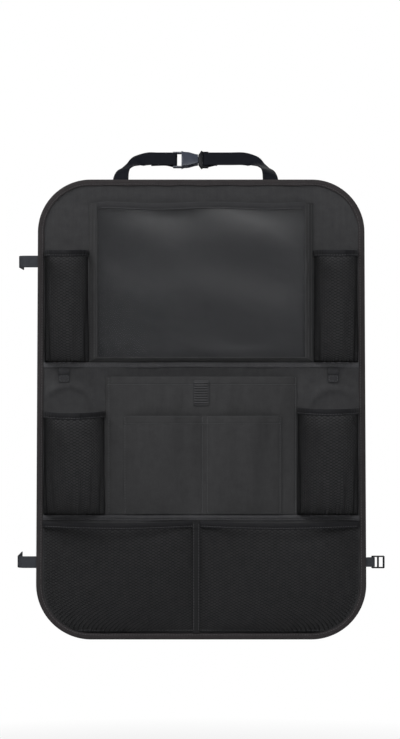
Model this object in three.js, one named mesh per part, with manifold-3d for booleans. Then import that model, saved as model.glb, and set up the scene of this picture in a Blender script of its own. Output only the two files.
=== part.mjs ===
// Car seat back organizer: a bound fabric panel with a window pocket, net pockets at the sides and along
// the bottom, and a document pocket. It hangs by a buckled top strap.
// Millimetres, +Z up. The origin is the middle of the panel's flat back face and the pockets face -Y.

import * as THREE from "three";
import Module from "manifold-3d";
import { mergeVertices } from "three/addons/utils/BufferGeometryUtils.js";

// Gap left between pieces that touch
const seam = 0.3;

// Panel, seen from the front, and the tape folded round its edge
const panelWidth = 420;
const panelTopWidth = 414;
const panelHeight = 584;
const panelThick = 2.5;
const topCornerRadius = 67;
const bottomCornerRadius = 70;
const bindingWidth = 8;
const bindingThick = 1;

// Thickness of the soft materials
const clothThick = 1;
const netThick = 0.9;
const filmThick = 0.6;
const tapeThick = 1.2;

// Hem folded over the top edge of each net and of the film
const hemThick = 0.7;
const netHemHeight = 8.3;
const filmHemHeight = 9.3;

// Tapes across the panel, by the height of their middle above the origin
const crossTapeZ = 56.7;
const crossTapeHeight = 7;
const hemTapeZ = -137.2;
const hemTapeHeight = 7.4;

// Window pocket: a cloth frame on three sides, a clear film and its hem
const tabletFrameWidth = 285;
const tabletFrameHeight = 201.5;
const tabletSideStrip = 11.3;
const tabletFootStrip = 6;
const tabletDepth = 10;

// Narrow net pockets at both sides of the clear window
const bottlePocketHeight = 141.5;
const bottlePocketDepth = 48;
const bottlePinch = 0.06;

// Wider net pockets at both sides of the document pocket: the left one tapers, the right one is deep
const cupPocketHeight = 131.5;
const cupPinch = 0.42;
const wideBottlePocketHeight = 136;
const wideBottlePinch = 0.12;
const cupPocketDepth = 58;

// Document pocket, the two smaller pockets sewn on it, and the ribbed patch near its mouth
const documentWidth = 243;
const documentHeight = 175;
const documentDepth = 13;
const frontWidth = 200.6;
const frontShift = 2;
const frontHeight = 125.6;
const frontDepth = 11;
const frontDividerX = 4.5;
const patchWidth = 20.5;
const patchHeight = 33;
const patchDrop = 4.2;
const patchThick = 1.1;
const patchRibs = 9;
const patchRibRise = 0.8;
const patchBorder = 2.2;

// Net pockets along the bottom, with a tape down the middle that parts them
const lowerPocketDepth = 24;
const dividerTapeX = -6.3;
const dividerTapeWidth = 9.5;

// Hanging loops below the cross tape
const loopWidth = 14;
const loopLength = 18.4;
const loopArch = 2.4;
const leftLoopX = -174;
const rightLoopX = 167.5;

// Diamond gaps of the netting, counted across and down, and the share of a cell that is open
const bottleNetColumns = 4;
const bottleNetRows = 7;
const cupNetColumns = 5;
const cupNetRows = 7;
const lowerNetColumns = 6;
const lowerNetRows = 5;
const netOpening = 0.7;

// Top strap: two webbings that rise from the panel, go back and meet at a buckle
const strapWidth = 19.5;
const strapThick = 1.4;
const leftStrapX = -102.2;
const rightStrapX = 88;
const strapRootLength = bindingWidth;
const strapRise = 30;
const strapReach = 50;
const strapInset = 34;
const strapLean = THREE.MathUtils.degToRad(28);
const leftTailLength = 30;
const rightTailLength = 13;

// Side release buckle, by its own middle line, with the joint of its halves at buckleX
const buckleX = -4;
const barRadius = 1.8;
const barClearance = 0.4;
const socketLength = 21.5;
const socketHeight = 20.7;
const socketWaist = 12.4;
const socketThick = 7.6;
const socketSlot = 5.4;
const armThick = 1.7;
const cavityLength = 16;
const cavityHeight = 9.2;
const cavityThick = 3.6;
const windowStart = 6;
const windowLength = 7;
const plugBaseLength = 6;
const plugWing = 1.1;
const plugThick = 5;
const plugSlot = 1.8;
const prongLength = 13;
const prongWidth = 2.1;
const prongHead = 1.7;
const tongueLength = 11;
const tongueWidth = 1.9;
const plugFit = 0.4;

// Side straps, bent back at the panel's edge
const sideStrapWidth = 15;
const sideStrapThick = 1.2;
const sideStrapRoot = bindingWidth;
const sideStrapOut = 14;
const sideStrapBend = 10;
const sideStrapBack = 60;
const upperSideStrapZ = 188;
const lowerSideStrapZ = -194;

// Narrow tab and plastic slider at the lower right
const tabWidth = 12;
const sliderBarWidth = 2.4;
const sliderSlot = 4.8;
const sliderRim = 1.7;
const sliderThick = 2.6;
const sliderCorner = 1.2;
const tabReach = 5.5;

// Length in which a webbing's tail comes to lie on it, past the bar that it goes round
const strapTailEase = 10;
const tabTailEase = 8;

// Steps of a half turn of webbing, of a corner of the panel and of a hanging loop
const turnSteps = 6;
const cornerSteps = 12;
const loopSteps = 8;

// Depth to which joined parts of the buckle run into each other
const joinOverlap = 0.5;

// What the driving sizes give
const frameHeight = strapWidth + 2 * (seam + armThick);

const wasm = await Module();
wasm.setup();

const panelTop = panelHeight / 2;
const panelBottom = -panelHeight / 2;
const panelFront = panelThick + seam;

// Builds one closed mesh from positions and faces, turned so that its faces point out.
function closedMesh(positions, faces) {
  let volume = 0;
  for (const [i, j, k] of faces) volume += positions[i].dot(positions[j].clone().cross(positions[k]));
  const outward = volume < 0 ? faces.map(([i, j, k]) => [i, k, j]) : faces;
  const geometry = new THREE.BufferGeometry().setFromPoints(positions);
  geometry.setIndex(outward.flat());
  geometry.computeVertexNormals();
  return geometry;
}

// The three directed edges of a triangle.
function edgesOf([i, j, k]) {
  return [[i, j], [j, k], [k, i]];
}

// Finds the edges that only one triangle of a flat layout has, in the direction that it has them.
function openEdges(triangles) {
  const edges = new Map(triangles.flatMap(edgesOf).map((edge) => [edge.join(), edge]));
  return [...edges.values()].filter(([i, j]) => !edges.has([j, i].join()));
}

// Makes a flat layout of triangles into a solid between two surfaces, walled along its open edges.
function closedSheet({ points, triangles }, front, back) {
  const count = points.length;
  const positions = [...points.map(([a, b]) => front(a, b)), ...points.map(([a, b]) => back(a, b))];
  const faces = triangles.flatMap(([i, j, k]) => [[i, j, k], [i + count, k + count, j + count]]);
  for (const [i, j] of openEdges(triangles)) faces.push([j, i, i + count], [j, i + count, j + count]);
  return closedMesh(positions, faces);
}

// Carries a flat section along stations by place(point, station), with end caps unless it closes on itself.
function sweep(section, stations, place, closed = false) {
  const size = section.length;
  const positions = stations.flatMap((station) => section.map((point) => place(point, station)));
  const faces = [];
  const spans = closed ? stations.length : stations.length - 1;
  for (let span = 0; span < spans; span += 1) {
    const near = span * size;
    const far = ((span + 1) % stations.length) * size;
    for (let i = 0; i < size; i += 1) {
      const next = (i + 1) % size;
      faces.push([near + i, near + next, far + next], [near + i, far + next, far + i]);
    }
  }
  if (!closed) faces.push(...endCaps(section, (stations.length - 1) * size));
  return closedMesh(positions, faces);
}

// Triangles of a sweep's two end caps. The sides run round the first cap in the section's own order.
function endCaps(section, last) {
  const outline = section.map(([a, b]) => new THREE.Vector2(a, b));
  const triangles = THREE.ShapeUtils.triangulateShape(outline, []);
  const sameWay = triangles.flatMap(edgesOf).some(([i, j]) => j === (i + 1) % section.length);
  const near = sameWay ? triangles.map(([i, j, k]) => [i, k, j]) : triangles;
  return near.flatMap(([i, j, k]) => [[i, j, k], [last + i, last + k, last + j]]);
}

// Flat plate between two heights in front of the panel, from an outline seen from the front.
function plate(outline, back, thick) {
  const shape = new THREE.Shape(outline);
  const geometry = new THREE.ExtrudeGeometry(shape, { depth: thick, bevelEnabled: false, curveSegments: 6 });
  return geometry.rotateX(Math.PI / 2).translate(0, -back, 0);
}

// Corners of an upright rectangle, seen from the front.
function rectangle(left, right, bottom, top) {
  const corners = [[left, bottom], [right, bottom], [right, top], [left, top]];
  return corners.map(([x, z]) => new THREE.Vector2(x, z));
}

// Outline with each corner rounded to its own radius.
function roundedOutline(corners, radii, steps) {
  const outline = [];
  corners.forEach((corner, n) => {
    const before = corners.at(n - 1).clone().sub(corner).normalize();
    const after = corners[(n + 1) % corners.length].clone().sub(corner).normalize();
    const halfAngle = Math.acos(before.dot(after)) / 2;
    const middle = before.clone().add(after).normalize();
    const centre = corner.clone().addScaledVector(middle, radii[n] / Math.sin(halfAngle));
    const start = corner.clone().addScaledVector(before, radii[n] / Math.tan(halfAngle)).sub(centre);
    const end = corner.clone().addScaledVector(after, radii[n] / Math.tan(halfAngle)).sub(centre);
    const turn = start.angleTo(end) * Math.sign(start.cross(end));
    for (let step = 0; step <= steps; step += 1) {
      outline.push(start.clone().rotateAround(new THREE.Vector2(), (turn * step) / steps).add(centre));
    }
  });
  return outline;
}

// Half width of the panel at a height, between its straight sides.
function sideAt(z) {
  return THREE.MathUtils.mapLinear(z, panelBottom, panelTop, panelWidth / 2, panelTopWidth / 2);
}

// Outline of the panel, drawn in from its edge by an inset.
function panelOutline(inset) {
  const top = panelTop - inset;
  const bottom = panelBottom + inset;
  const high = sideAt(panelTop) - inset;
  const low = sideAt(panelBottom) - inset;
  const corners = [[-low, bottom], [low, bottom], [high, top], [-high, top]];
  const radii = [bottomCornerRadius, bottomCornerRadius, topCornerRadius, topCornerRadius];
  const points = corners.map(([x, z]) => new THREE.Vector2(x, z));
  return roundedOutline(points, radii.map((radius) => radius - inset), cornerSteps);
}

// Half width that is free inside the binding at a height, the bottom corners included.
function freeSideAt(z) {
  const inset = bindingWidth + seam;
  const radius = bottomCornerRadius - inset;
  const straight = sideAt(z) - inset;
  const drop = panelBottom + bottomCornerRadius - z;
  if (drop <= 0) return straight;
  return straight - radius + Math.sqrt(Math.max(radius * radius - drop * drop, 0));
}

// Point at a height in front of the panel's face.
function onPanel(x, height, z) {
  return new THREE.Vector3(x, -panelFront - height, z);
}

// Values from the first to the last of the given lines, with steps no longer than the given one.
function gridLines(lines, step) {
  return lines.flatMap((line, n) => {
    if (n === lines.length - 1) return [line];
    const span = lines[n + 1] - line;
    const steps = Math.max(1, Math.round(Math.abs(span) / step));
    return Array.from({ length: steps }, (_, i) => line + (span * i) / steps);
  });
}

// Flat layout of a grid, two triangles to a cell.
function gridLayout(columns, rows) {
  const points = rows.flatMap((row) => columns.map((column) => [column, row]));
  const triangles = [];
  for (let j = 0; j < rows.length - 1; j += 1) {
    for (let i = 0; i < columns.length - 1; i += 1) {
      const a = j * columns.length + i;
      const b = a + columns.length;
      triangles.push([a, a + 1, b + 1], [a, b + 1, b]);
    }
  }
  return { points, triangles };
}

// Cloth over a grid of x and z lines that stands heightAt(x, z) in front of the panel.
function clothSheet(columns, rows, heightAt, thick, riseAt = () => 0) {
  const front = (x, z) => onPanel(x, heightAt(x, z) + thick + riseAt(x, z), z);
  const back = (x, z) => onPanel(x, heightAt(x, z), z);
  return closedSheet(gridLayout(columns, rows), front, back);
}

// Layout of bays of diamond gaps, side by side with a plain strip between, and a selvedge on top.
// Across, a bay is as long as its columns and a strip is 1. Down, 0 is the first row and -1 the top edge.
function netLayout(columns, rows, bays) {
  const points = [];
  const triangles = [];
  const known = new Map();
  const point = (u, v) => {
    const key = `${u},${v}`;
    if (!known.has(key)) known.set(key, points.push([u, v]) - 1);
    return known.get(key);
  };
  const fill = (...corners) => {
    const [first, ...rest] = corners.map(([u, v]) => point(u, v));
    for (let i = 0; i < rest.length - 1; i += 1) triangles.push([first, rest[i], rest[i + 1]]);
  };
  const acrossLines = [];
  for (let bay = 0; bay < bays; bay += 1) {
    const start = bay * (columns + 1);
    for (let j = 0; j <= 2 * rows; j += 1) {
      for (let i = 0; i <= 2 * columns; i += 1) {
        if ((i + j) % 2) continue;
        if (i % 2 === 1 || (i > 0 && i < 2 * columns && j > 0 && j < 2 * rows)) {
          openDiamond(fill, start + i / 2, j / 2);
        } else {
          solidPart(fill, start, columns, rows, i / 2, j / 2);
        }
      }
    }
    const lines = [0, ...Array.from({ length: columns }, (_, i) => i + 0.5), columns];
    acrossLines.push(...lines.map((line) => start + line));
  }
  const downLines = [0, ...Array.from({ length: rows }, (_, j) => j + 0.5), rows];
  for (let bay = 1; bay < bays; bay += 1) {
    const edge = bay * (columns + 1);
    for (let j = 0; j < downLines.length - 1; j += 1) {
      const [up, down] = [downLines[j], downLines[j + 1]];
      fill([edge - 1, up], [edge, up], [edge, down], [edge - 1, down]);
    }
  }
  for (let i = 0; i < acrossLines.length - 1; i += 1) {
    const [left, right] = [acrossLines[i], acrossLines[i + 1]];
    fill([left, -1], [right, -1], [right, 0], [left, 0]);
  }
  return { points, triangles, acrossLines };
}

// Rim of one diamond cell round its gap.
function openDiamond(fill, u, v) {
  const corners = [[0, -0.5], [0.5, 0], [0, 0.5], [-0.5, 0]];
  const outer = corners.map(([a, b]) => [u + a, v + b]);
  const inner = corners.map(([a, b]) => [u + a * netOpening, v + b * netOpening]);
  corners.forEach((_, n) => {
    const next = (n + 1) % corners.length;
    fill(outer[n], outer[next], inner[next], inner[n]);
  });
}

// Solid half or quarter cell along the edge of a bay.
function solidPart(fill, start, columns, rows, u, v) {
  const left = Math.max(u - 0.5, 0);
  const right = Math.min(u + 0.5, columns);
  const up = Math.max(v - 0.5, 0);
  const down = Math.min(v + 0.5, rows);
  const onSide = u === 0 || u === columns;
  const onEnd = v === 0 || v === rows;
  const inward = u === 0 ? right : left;
  const middle = v === 0 ? down : up;
  if (onSide && onEnd) fill(...wound([[u, v], [inward, v], [u, middle]], start));
  else if (onSide) fill(...wound([[u, up], [inward, v], [u, down]], start));
  else fill(...wound([[left, v], [right, v], [u, middle]], start));
}

// Corners of a triangle put in the order that the layout's other triangles run, and moved to their bay.
function wound(corners, start) {
  const [a, b, c] = corners;
  const area = (b[0] - a[0]) * (c[1] - a[1]) - (b[1] - a[1]) * (c[0] - a[0]);
  const ordered = area > 0 ? [a, b, c] : [a, c, b];
  return ordered.map(([u, v]) => [u + start, v]);
}

// Arched net pocket: x, y and z of its wall for a share across and down, drawn in by an inset.
function archWall({ left, right, top, bottom, depth, pinch }) {
  const middle = (left + right) / 2;
  return (share, down, inset) => {
    const angle = Math.PI * share;
    const fall = Math.cbrt(Math.max(1 - Math.max(down, 0) ** 3, 0));
    const narrow = 1 - pinch * Math.max(down, 0) ** 2 * Math.sin(angle) ** 2;
    const x = middle - ((right - left) / 2 - inset) * Math.cos(angle) * narrow;
    const height = (depth - inset) * Math.sin(angle) * fall;
    return onPanel(x, Math.max(height, 0), top - down * (top - bottom - inset));
  };
}

// Section of a hem folded over an edge, across from the outer face of what it holds and up from its lip.
function hemSection(held, height) {
  const outer = -seam - hemThick;
  const inner = held + seam + hemThick;
  return [
    [outer, 0], [-seam, 0], [-seam, height - hemThick], [held + seam, height - hemThick],
    [held + seam, 0], [inner, 0], [inner, height], [outer, height],
  ];
}

// Net pocket that arches out from the panel, with the hem on its top edge.
function netPocket(name, pocket, columns, rows) {
  const layout = netLayout(columns, rows, 1);
  const mouth = pocket.top - netHemHeight;
  const wall = archWall({ ...pocket, top: mouth });
  const selvedge = netHemHeight - hemThick - seam;
  const at = (inset) => (u, v) => {
    const point = wall(u / columns, v / rows, inset);
    if (v < 0) point.z = mouth + selvedge;
    return point;
  };
  const net = closedSheet(layout, at(0), at(netThick));
  const hem = sweep(hemSection(netThick, netHemHeight), layout.acrossLines, ([inset, up], u) => {
    const point = wall(u / columns, 0, inset);
    point.z = mouth + up;
    return point;
  });
  return [part(`${name}_net`, net, netting), part(`${name}_band`, hem, elastic)];
}

// Main panel of padded fabric, pressed thinner at its edge where the binding lies flush with its back.
function mainPanel() {
  const pressed = bindingThick + seam;
  const wide = panelOutline(pressed);
  const narrow = panelOutline(bindingWidth + seam);
  const section = wide.map(({ x, y }, n) => [x, y, n]);
  const stations = [[wide, panelThick], [wide, pressed], [narrow, pressed], [narrow, 0]];
  const place = ([, , n], [outline, depth]) => new THREE.Vector3(outline[n].x, -depth, outline[n].y);
  return part("main_panel", sweep(section, stations, place), oxford);
}

// Binding tape folded round the panel's edge, flush with its back.
function edgeBinding() {
  const front = panelFront + bindingThick;
  const section = [
    [0, front], [bindingWidth, front], [bindingWidth, panelFront], [bindingThick, panelFront],
    [bindingThick, bindingThick], [bindingWidth, bindingThick], [bindingWidth, 0], [0, 0],
  ];
  const outlines = section.map(([inset]) => panelOutline(inset));
  const numbered = section.map(([, y], n) => [n, y]);
  const stations = outlines[0].map((_, k) => k);
  const place = ([n, y], k) => new THREE.Vector3(outlines[n][k].x, -y, outlines[n][k].y);
  return part("edge_binding", sweep(numbered, stations, place, true), bindingTape);
}

// Woven tape sewn straight across the panel.
function tapeAcross(name, z, height) {
  const side = Math.min(freeSideAt(z + height / 2), freeSideAt(z - height / 2));
  const outline = rectangle(-side, side, z - height / 2, z + height / 2);
  return part(name, plate(outline, panelFront, tapeThick), tapeFabric);
}

const crossTapeTop = crossTapeZ + crossTapeHeight / 2;
const crossTapeBottom = crossTapeZ - crossTapeHeight / 2;
const hemTapeTop = hemTapeZ + hemTapeHeight / 2;
const hemTapeBottom = hemTapeZ - hemTapeHeight / 2;
const filmHeight = tabletDepth + (clothThick - filmThick) / 2;

// Cloth frame of the window pocket: two sides and a foot that rise from the panel to the film.
function tabletFrame() {
  const side = tabletFrameWidth / 2;
  const foot = crossTapeTop + seam;
  const top = foot + tabletFrameHeight;
  const outer = [[-side, top], [-side, foot], [side, foot], [side, top]];
  const inX = side - tabletSideStrip;
  const inner = [[-inX, top], [-inX, foot + tabletFootStrip], [inX, foot + tabletFootStrip], [inX, top]];
  const place = (lift) => (station, share) => {
    const x = THREE.MathUtils.lerp(outer[station][0], inner[station][0], share);
    const z = THREE.MathUtils.lerp(outer[station][1], inner[station][1], share);
    return onPanel(x, tabletDepth * Math.sin((share * Math.PI) / 2) + lift, z);
  };
  const layout = gridLayout([0, 1, 2, 3], [0, 0.25, 0.5, 0.75, 1]);
  return part("tablet_frame", closedSheet(layout, place(clothThick), place(0)), oxford);
}

const filmSide = tabletFrameWidth / 2 - tabletSideStrip - seam;
const tabletTop = crossTapeTop + seam + tabletFrameHeight;

// Clear film of the window pocket.
function tabletWindow() {
  const bottom = crossTapeTop + seam + tabletFootStrip + seam;
  const top = tabletTop - hemThick - seam;
  const outline = rectangle(-filmSide, filmSide, bottom, top);
  return part("tablet_window", plate(outline, panelFront + filmHeight, filmThick), clearFilm);
}

// Hem folded over the top edge of the film.
function tabletHem() {
  const section = hemSection(filmThick, filmHemHeight);
  const bottom = tabletTop - filmHemHeight;
  const place = ([across, up], x) => onPanel(x, filmHeight + filmThick - across, bottom + up);
  return part("tablet_hem", sweep(section, [-filmSide, filmSide], place), bindingTape);
}

const documentTop = hemTapeTop + seam + documentHeight;
const documentBottom = hemTapeTop + seam;
const documentSide = documentWidth / 2;
const frontLeft = frontShift - frontWidth / 2;
const frontRight = frontShift + frontWidth / 2;
const frontTop = documentBottom + frontHeight;

// Height of the document pocket's back face in front of the panel.
function documentAt(x, z) {
  const across = 1 - (x / documentSide) ** 4;
  const down = (documentTop - z) / documentHeight;
  return documentDepth * across * Math.cos((down * Math.PI) / 2);
}

// Height of the back face of the two small pockets, one bay each side of the divider seam.
function frontAt(x, z) {
  const [start, end] = x < frontDividerX ? [frontLeft, frontDividerX] : [frontDividerX, frontRight];
  const bay = Math.sin((Math.PI * (x - start)) / (end - start));
  const down = (frontTop - z) / frontHeight;
  const bulge = frontDepth * Math.max(bay, 0) * Math.cos((down * Math.PI) / 2);
  return documentAt(x, z) + clothThick + seam + bulge;
}

// Document pocket with the two small pockets on it. They share their grid, so they lie evenly.
function documentPockets() {
  const columnStep = 17;
  const rowStep = 25;
  const columns = gridLines([-documentSide, frontLeft, frontDividerX, frontRight, documentSide], columnStep);
  const rows = gridLines([documentBottom, frontTop, documentTop], rowStep);
  const frontColumns = columns.filter((x) => x >= frontLeft && x <= frontRight);
  const frontRows = rows.filter((z) => z <= frontTop);
  return [
    part("document_pocket", clothSheet(columns, rows, documentAt, clothThick), oxford),
    part("front_pocket", clothSheet(frontColumns, frontRows, frontAt, clothThick), oxford),
  ];
}

// Ribbed patch sewn to the document pocket below its mouth.
function ribbedPatch() {
  const top = documentTop - patchDrop;
  const bottom = top - patchHeight;
  const side = patchWidth / 2;
  const columns = [-side, patchBorder - side, side - patchBorder, side];
  const ribTop = top - patchBorder;
  const ribPitch = (patchHeight - 2 * patchBorder) / patchRibs;
  const valleys = Array.from({ length: patchRibs + 1 }, (_, n) => ribTop - n * ribPitch);
  const crests = valleys.slice(0, -1).map((z) => z - ribPitch / 2);
  const rows = [bottom, ...[...valleys, ...crests].sort((a, b) => a - b), top];
  const height = (x, z) => documentAt(x, z) + clothThick + seam;
  const rise = (x, z) => (Math.abs(x) < side && crests.includes(z) ? patchRibRise : 0);
  return part("ribbed_patch", clothSheet(columns, rows, height, patchThick, rise), rubber);
}

// Small webbing loop below the cross tape, flat at both ends and arched between.
function hangingLoop(name, x) {
  const top = crossTapeBottom - seam;
  const rows = gridLines([top - loopLength, top], loopLength / loopSteps);
  const columns = [x - loopWidth / 2, x + loopWidth / 2];
  const height = (_, z) => {
    const along = (top - z) / (loopLength / 2);
    return along < 1 ? loopArch * Math.sin(along * Math.PI) : 0;
  };
  return part(name, clothSheet(columns, rows, height, tapeThick), webbing);
}

const lowerTop = hemTapeBottom - seam;
const lowerMouth = lowerTop - netHemHeight;
const lowerBottom = panelBottom + bindingWidth + 2 * seam;
const lowerCells = lowerNetColumns + 1;

// Place of the bottom net for cells across and down: x, height in front of the panel and z.
function lowerNetAt(u, v) {
  const down = Math.max(v, 0) / lowerNetRows;
  const z = v < 0 ? lowerTop - hemThick - seam : THREE.MathUtils.lerp(lowerMouth, lowerBottom, down);
  const side = freeSideAt(z) - seam;
  const [start, end] = u < lowerCells - 0.5
    ? [-side, dividerTapeX - dividerTapeWidth / 2]
    : [dividerTapeX + dividerTapeWidth / 2, side];
  const share = (u < lowerCells - 0.5 ? u : u - lowerCells) / lowerNetColumns;
  const bulge = lowerPocketDepth * Math.sin(Math.PI * share) * Math.cos((down * Math.PI) / 2);
  const lift = (hemThick + seam) * (1 - down);
  return { x: THREE.MathUtils.lerp(start, end, share), height: Math.max(bulge, 0) + lift, z };
}

// Net pockets along the bottom in one net, with its hem and the tape that parts them.
function lowerPockets() {
  const layout = netLayout(lowerNetColumns, lowerNetRows, 2);
  const at = (lift) => (u, v) => {
    const { x, height, z } = lowerNetAt(u, v);
    return onPanel(x, height + lift, z);
  };
  const hem = sweep(hemSection(netThick, netHemHeight), layout.acrossLines, ([across, up], u) => {
    const { x, height } = lowerNetAt(u, 0);
    return onPanel(x, height + netThick - across, lowerMouth + up);
  });
  return [
    part("lower_net", closedSheet(layout, at(netThick), at(0)), netting),
    part("lower_band", hem, elastic),
    part("divider_tape", dividerTape(), tapeFabric),
  ];
}

// Tape over the hem and the net where the two bottom pockets meet.
function dividerTape() {
  const overHem = 2 * (hemThick + seam) + netThick + seam;
  const overNet = (z) => {
    const share = (lowerMouth - z) / (lowerMouth - lowerBottom);
    return netThick + seam + (hemThick + seam) * (1 - share);
  };
  const step = 2 * hemThick;
  const rows = [lowerBottom, lowerMouth - 2 * step, lowerMouth - step, lowerTop];
  const columns = [dividerTapeX - dividerTapeWidth / 2, dividerTapeX + dividerTapeWidth / 2];
  const height = (_, z) => (z < lowerMouth - 1.5 * step ? overNet(z) : overHem);
  return clothSheet(columns, rows, height, tapeThick);
}

// Frame of the buckle: x along the strap's run, y through it and z across it.
const buckleFrame = new THREE.Group();
buckleFrame.position.set(buckleX, strapReach, panelTop + strapRise);
buckleFrame.rotation.x = -strapLean;
buckleFrame.updateMatrix();
const acrossRun = new THREE.Vector3(0, 0, -1).transformDirection(buckleFrame.matrix);
const loopRadius = barRadius + barClearance + strapThick / 2;
const strapRootY = seam + strapThick / 2;

// Webbing ribbon through stations, each a middle point and the direction across it.
function ribbon(stations, width, thick) {
  const [side, face] = [width / 2, thick / 2];
  const section = [[-side, -face], [side, -face], [side, face], [-side, face]];
  const framed = stations.map(({ middle, across }, n) => {
    const before = stations[Math.max(n - 1, 0)].middle;
    const after = stations[Math.min(n + 1, stations.length - 1)].middle;
    const through = after.clone().sub(before).cross(across).normalize();
    return { middle, across, through };
  });
  return sweep(section, framed, ([a, b], { middle, across, through }) =>
    middle.clone().addScaledVector(across, a).addScaledVector(through, b));
}

// Way of a top strap from the panel to its run.
// Each row holds the shares of its inset, reach and rise, and the direction across the webbing.
const strapTurn = [
  [0.03, 0.09, 0.24, 0.93, -0.36, 0.03],
  [0.09, 0.25, 0.43, 0.79, -0.61, 0.04],
  [0.235, 0.465, 0.57, 0.52, -0.85, -0.05],
  [0.43, 0.7, 0.72, 0.3, -0.89, -0.35],
  [0.656, 0.92, 0.9, 0.2, -0.62, -0.76],
];

// Top strap: up from behind the panel, back and in to the run, round the buckle's bar and back on itself.
function topStrap(name, x, inward, barX, tailLength) {
  const start = new THREE.Vector3(x, strapRootY, panelTop);
  const runX = x + inward * strapInset - buckleX;
  const runStart = buckleFrame.localToWorld(new THREE.Vector3(runX, -loopRadius, 0));
  const span = runStart.clone().sub(start);
  const flat = new THREE.Vector3(inward, 0, 0);
  const rootPoints = [start.clone().setZ(panelTop - strapRootLength), start];
  const stations = rootPoints.map((middle) => ({ middle, across: flat }));
  for (const [inShare, backShare, upShare, ax, ay, az] of strapTurn) {
    const way = new THREE.Vector3(inShare, backShare, upShare).multiply(span);
    const middle = start.clone().add(way);
    stations.push({ middle, across: new THREE.Vector3(inward * ax, ay, az).normalize() });
  }
  const runPoints = [[runX, -loopRadius]];
  for (let step = 0; step <= turnSteps; step += 1) {
    const angle = (step * Math.PI) / turnSteps;
    runPoints.push([barX + inward * loopRadius * Math.sin(angle), -loopRadius * Math.cos(angle)]);
  }
  const tailY = -loopRadius + strapThick + seam;
  runPoints.push([barX - inward * strapTailEase, tailY], [barX - inward * tailLength, tailY]);
  for (const [along, y] of runPoints) {
    stations.push({ middle: buckleFrame.localToWorld(new THREE.Vector3(along, y, 0)), across: acrossRun });
  }
  return part(name, ribbon(stations, strapWidth, strapThick), strapWebbing);
}

// Solid of a geometry for joining and cutting.
function solidOf(geometry) {
  const plain = geometry.clone();
  plain.deleteAttribute("normal");
  plain.deleteAttribute("uv");
  const merged = mergeVertices(plain, 1e-4);
  const mesh = new wasm.Mesh({
    numProp: 3,
    vertProperties: merged.attributes.position.array,
    triVerts: new Uint32Array(merged.index.array),
  });
  return new wasm.Manifold(mesh);
}

// Geometry of a joined or cut solid.
function geometryOf(solid) {
  const mesh = solid.getMesh();
  const geometry = new THREE.BufferGeometry();
  geometry.setAttribute("position", new THREE.BufferAttribute(mesh.vertProperties.slice(), 3));
  geometry.setIndex([...mesh.triVerts]);
  geometry.computeVertexNormals();
  return geometry;
}

// Box between two corners.
function block(x0, x1, y0, y1, z0, z1) {
  const box = new THREE.BoxGeometry(x1 - x0, y1 - y0, z1 - z0);
  return solidOf(box.translate((x0 + x1) / 2, (y0 + y1) / 2, (z0 + z1) / 2));
}

// Prism through the buckle's thickness from the upper half of its outline.
function symmetricPrism(upperHalf, thick) {
  const lower = [...upperHalf].reverse().map(([x, z]) => [x, -z]);
  const outline = [...upperHalf, ...lower].map(([x, z]) => new THREE.Vector2(x, z));
  return solidOf(plate(outline, -thick / 2, thick));
}

// Bar that a webbing goes round, with the two arms that carry it from a body's end.
function barAndArms(barX, bodyX) {
  const bar = new THREE.CylinderGeometry(barRadius, barRadius, frameHeight - armThick, 10);
  const [near, far] = [Math.min(barX - barRadius, bodyX), Math.max(barX + barRadius, bodyX)];
  const z = frameHeight / 2;
  const thick = 2 * barRadius;
  return solidOf(bar.rotateX(Math.PI / 2).translate(barX, 0, 0))
    .add(block(near, far, -thick / 2, thick / 2, z - armThick, z))
    .add(block(near, far, -thick / 2, thick / 2, -z, armThick - z));
}

const socketBarX = -socketLength - socketSlot - strapThick - barClearance - barRadius;
const plugBarX = plugBaseLength + plugSlot + strapThick + barClearance + barRadius;

// Socket half of the buckle: a hollow body with a window each side, and its webbing bar.
function buckleSocket() {
  const high = socketHeight / 2;
  const waist = socketWaist / 2;
  const outline = [
    [-socketLength, frameHeight / 2], [-socketLength * 0.85, high], [-socketLength * 0.55, high * 0.94],
    [-socketLength * 0.2, waist + (high - waist) * 0.22], [0, waist],
  ];
  const half = cavityThick / 2;
  const cavity = block(-cavityLength, 1, -half, half, -cavityHeight / 2, cavityHeight / 2);
  const windows = block(-windowStart - windowLength, -windowStart, -half, half, -high - 1, high + 1);
  return symmetricPrism(outline, socketThick)
    .subtract(cavity)
    .subtract(windows)
    .add(barAndArms(socketBarX, joinOverlap - socketLength));
}

// Plug half of the buckle: a winged base with two hooked prongs and a tongue, and its webbing bar.
function bucklePlug() {
  const high = frameHeight / 2;
  const outline = [
    [seam, socketWaist / 2], [plugBaseLength * 0.35, high * 0.78], [plugBaseLength * 0.7, high + plugWing],
    [plugBaseLength, high],
  ];
  const half = cavityThick / 2 - plugFit;
  const root = plugBaseLength / 2;
  const prongTop = cavityHeight / 2 - plugFit;
  const headEnd = -windowStart - plugFit;
  let plug = symmetricPrism(outline, plugThick)
    .add(block(-tongueLength, root, -half, half, -tongueWidth / 2, tongueWidth / 2))
    .add(barAndArms(plugBarX, plugBaseLength - joinOverlap));
  for (const side of [-1, 1]) {
    const [low, top] = [prongTop - prongWidth, prongTop].map((z) => z * side).sort((a, b) => a - b);
    const head = prongHead * side;
    plug = plug
      .add(block(-prongLength, root, -half, half, low, top))
      .add(block(-prongLength, headEnd, -half, half, low + Math.min(head, 0), top + Math.max(head, 0)));
  }
  return plug;
}

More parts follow.
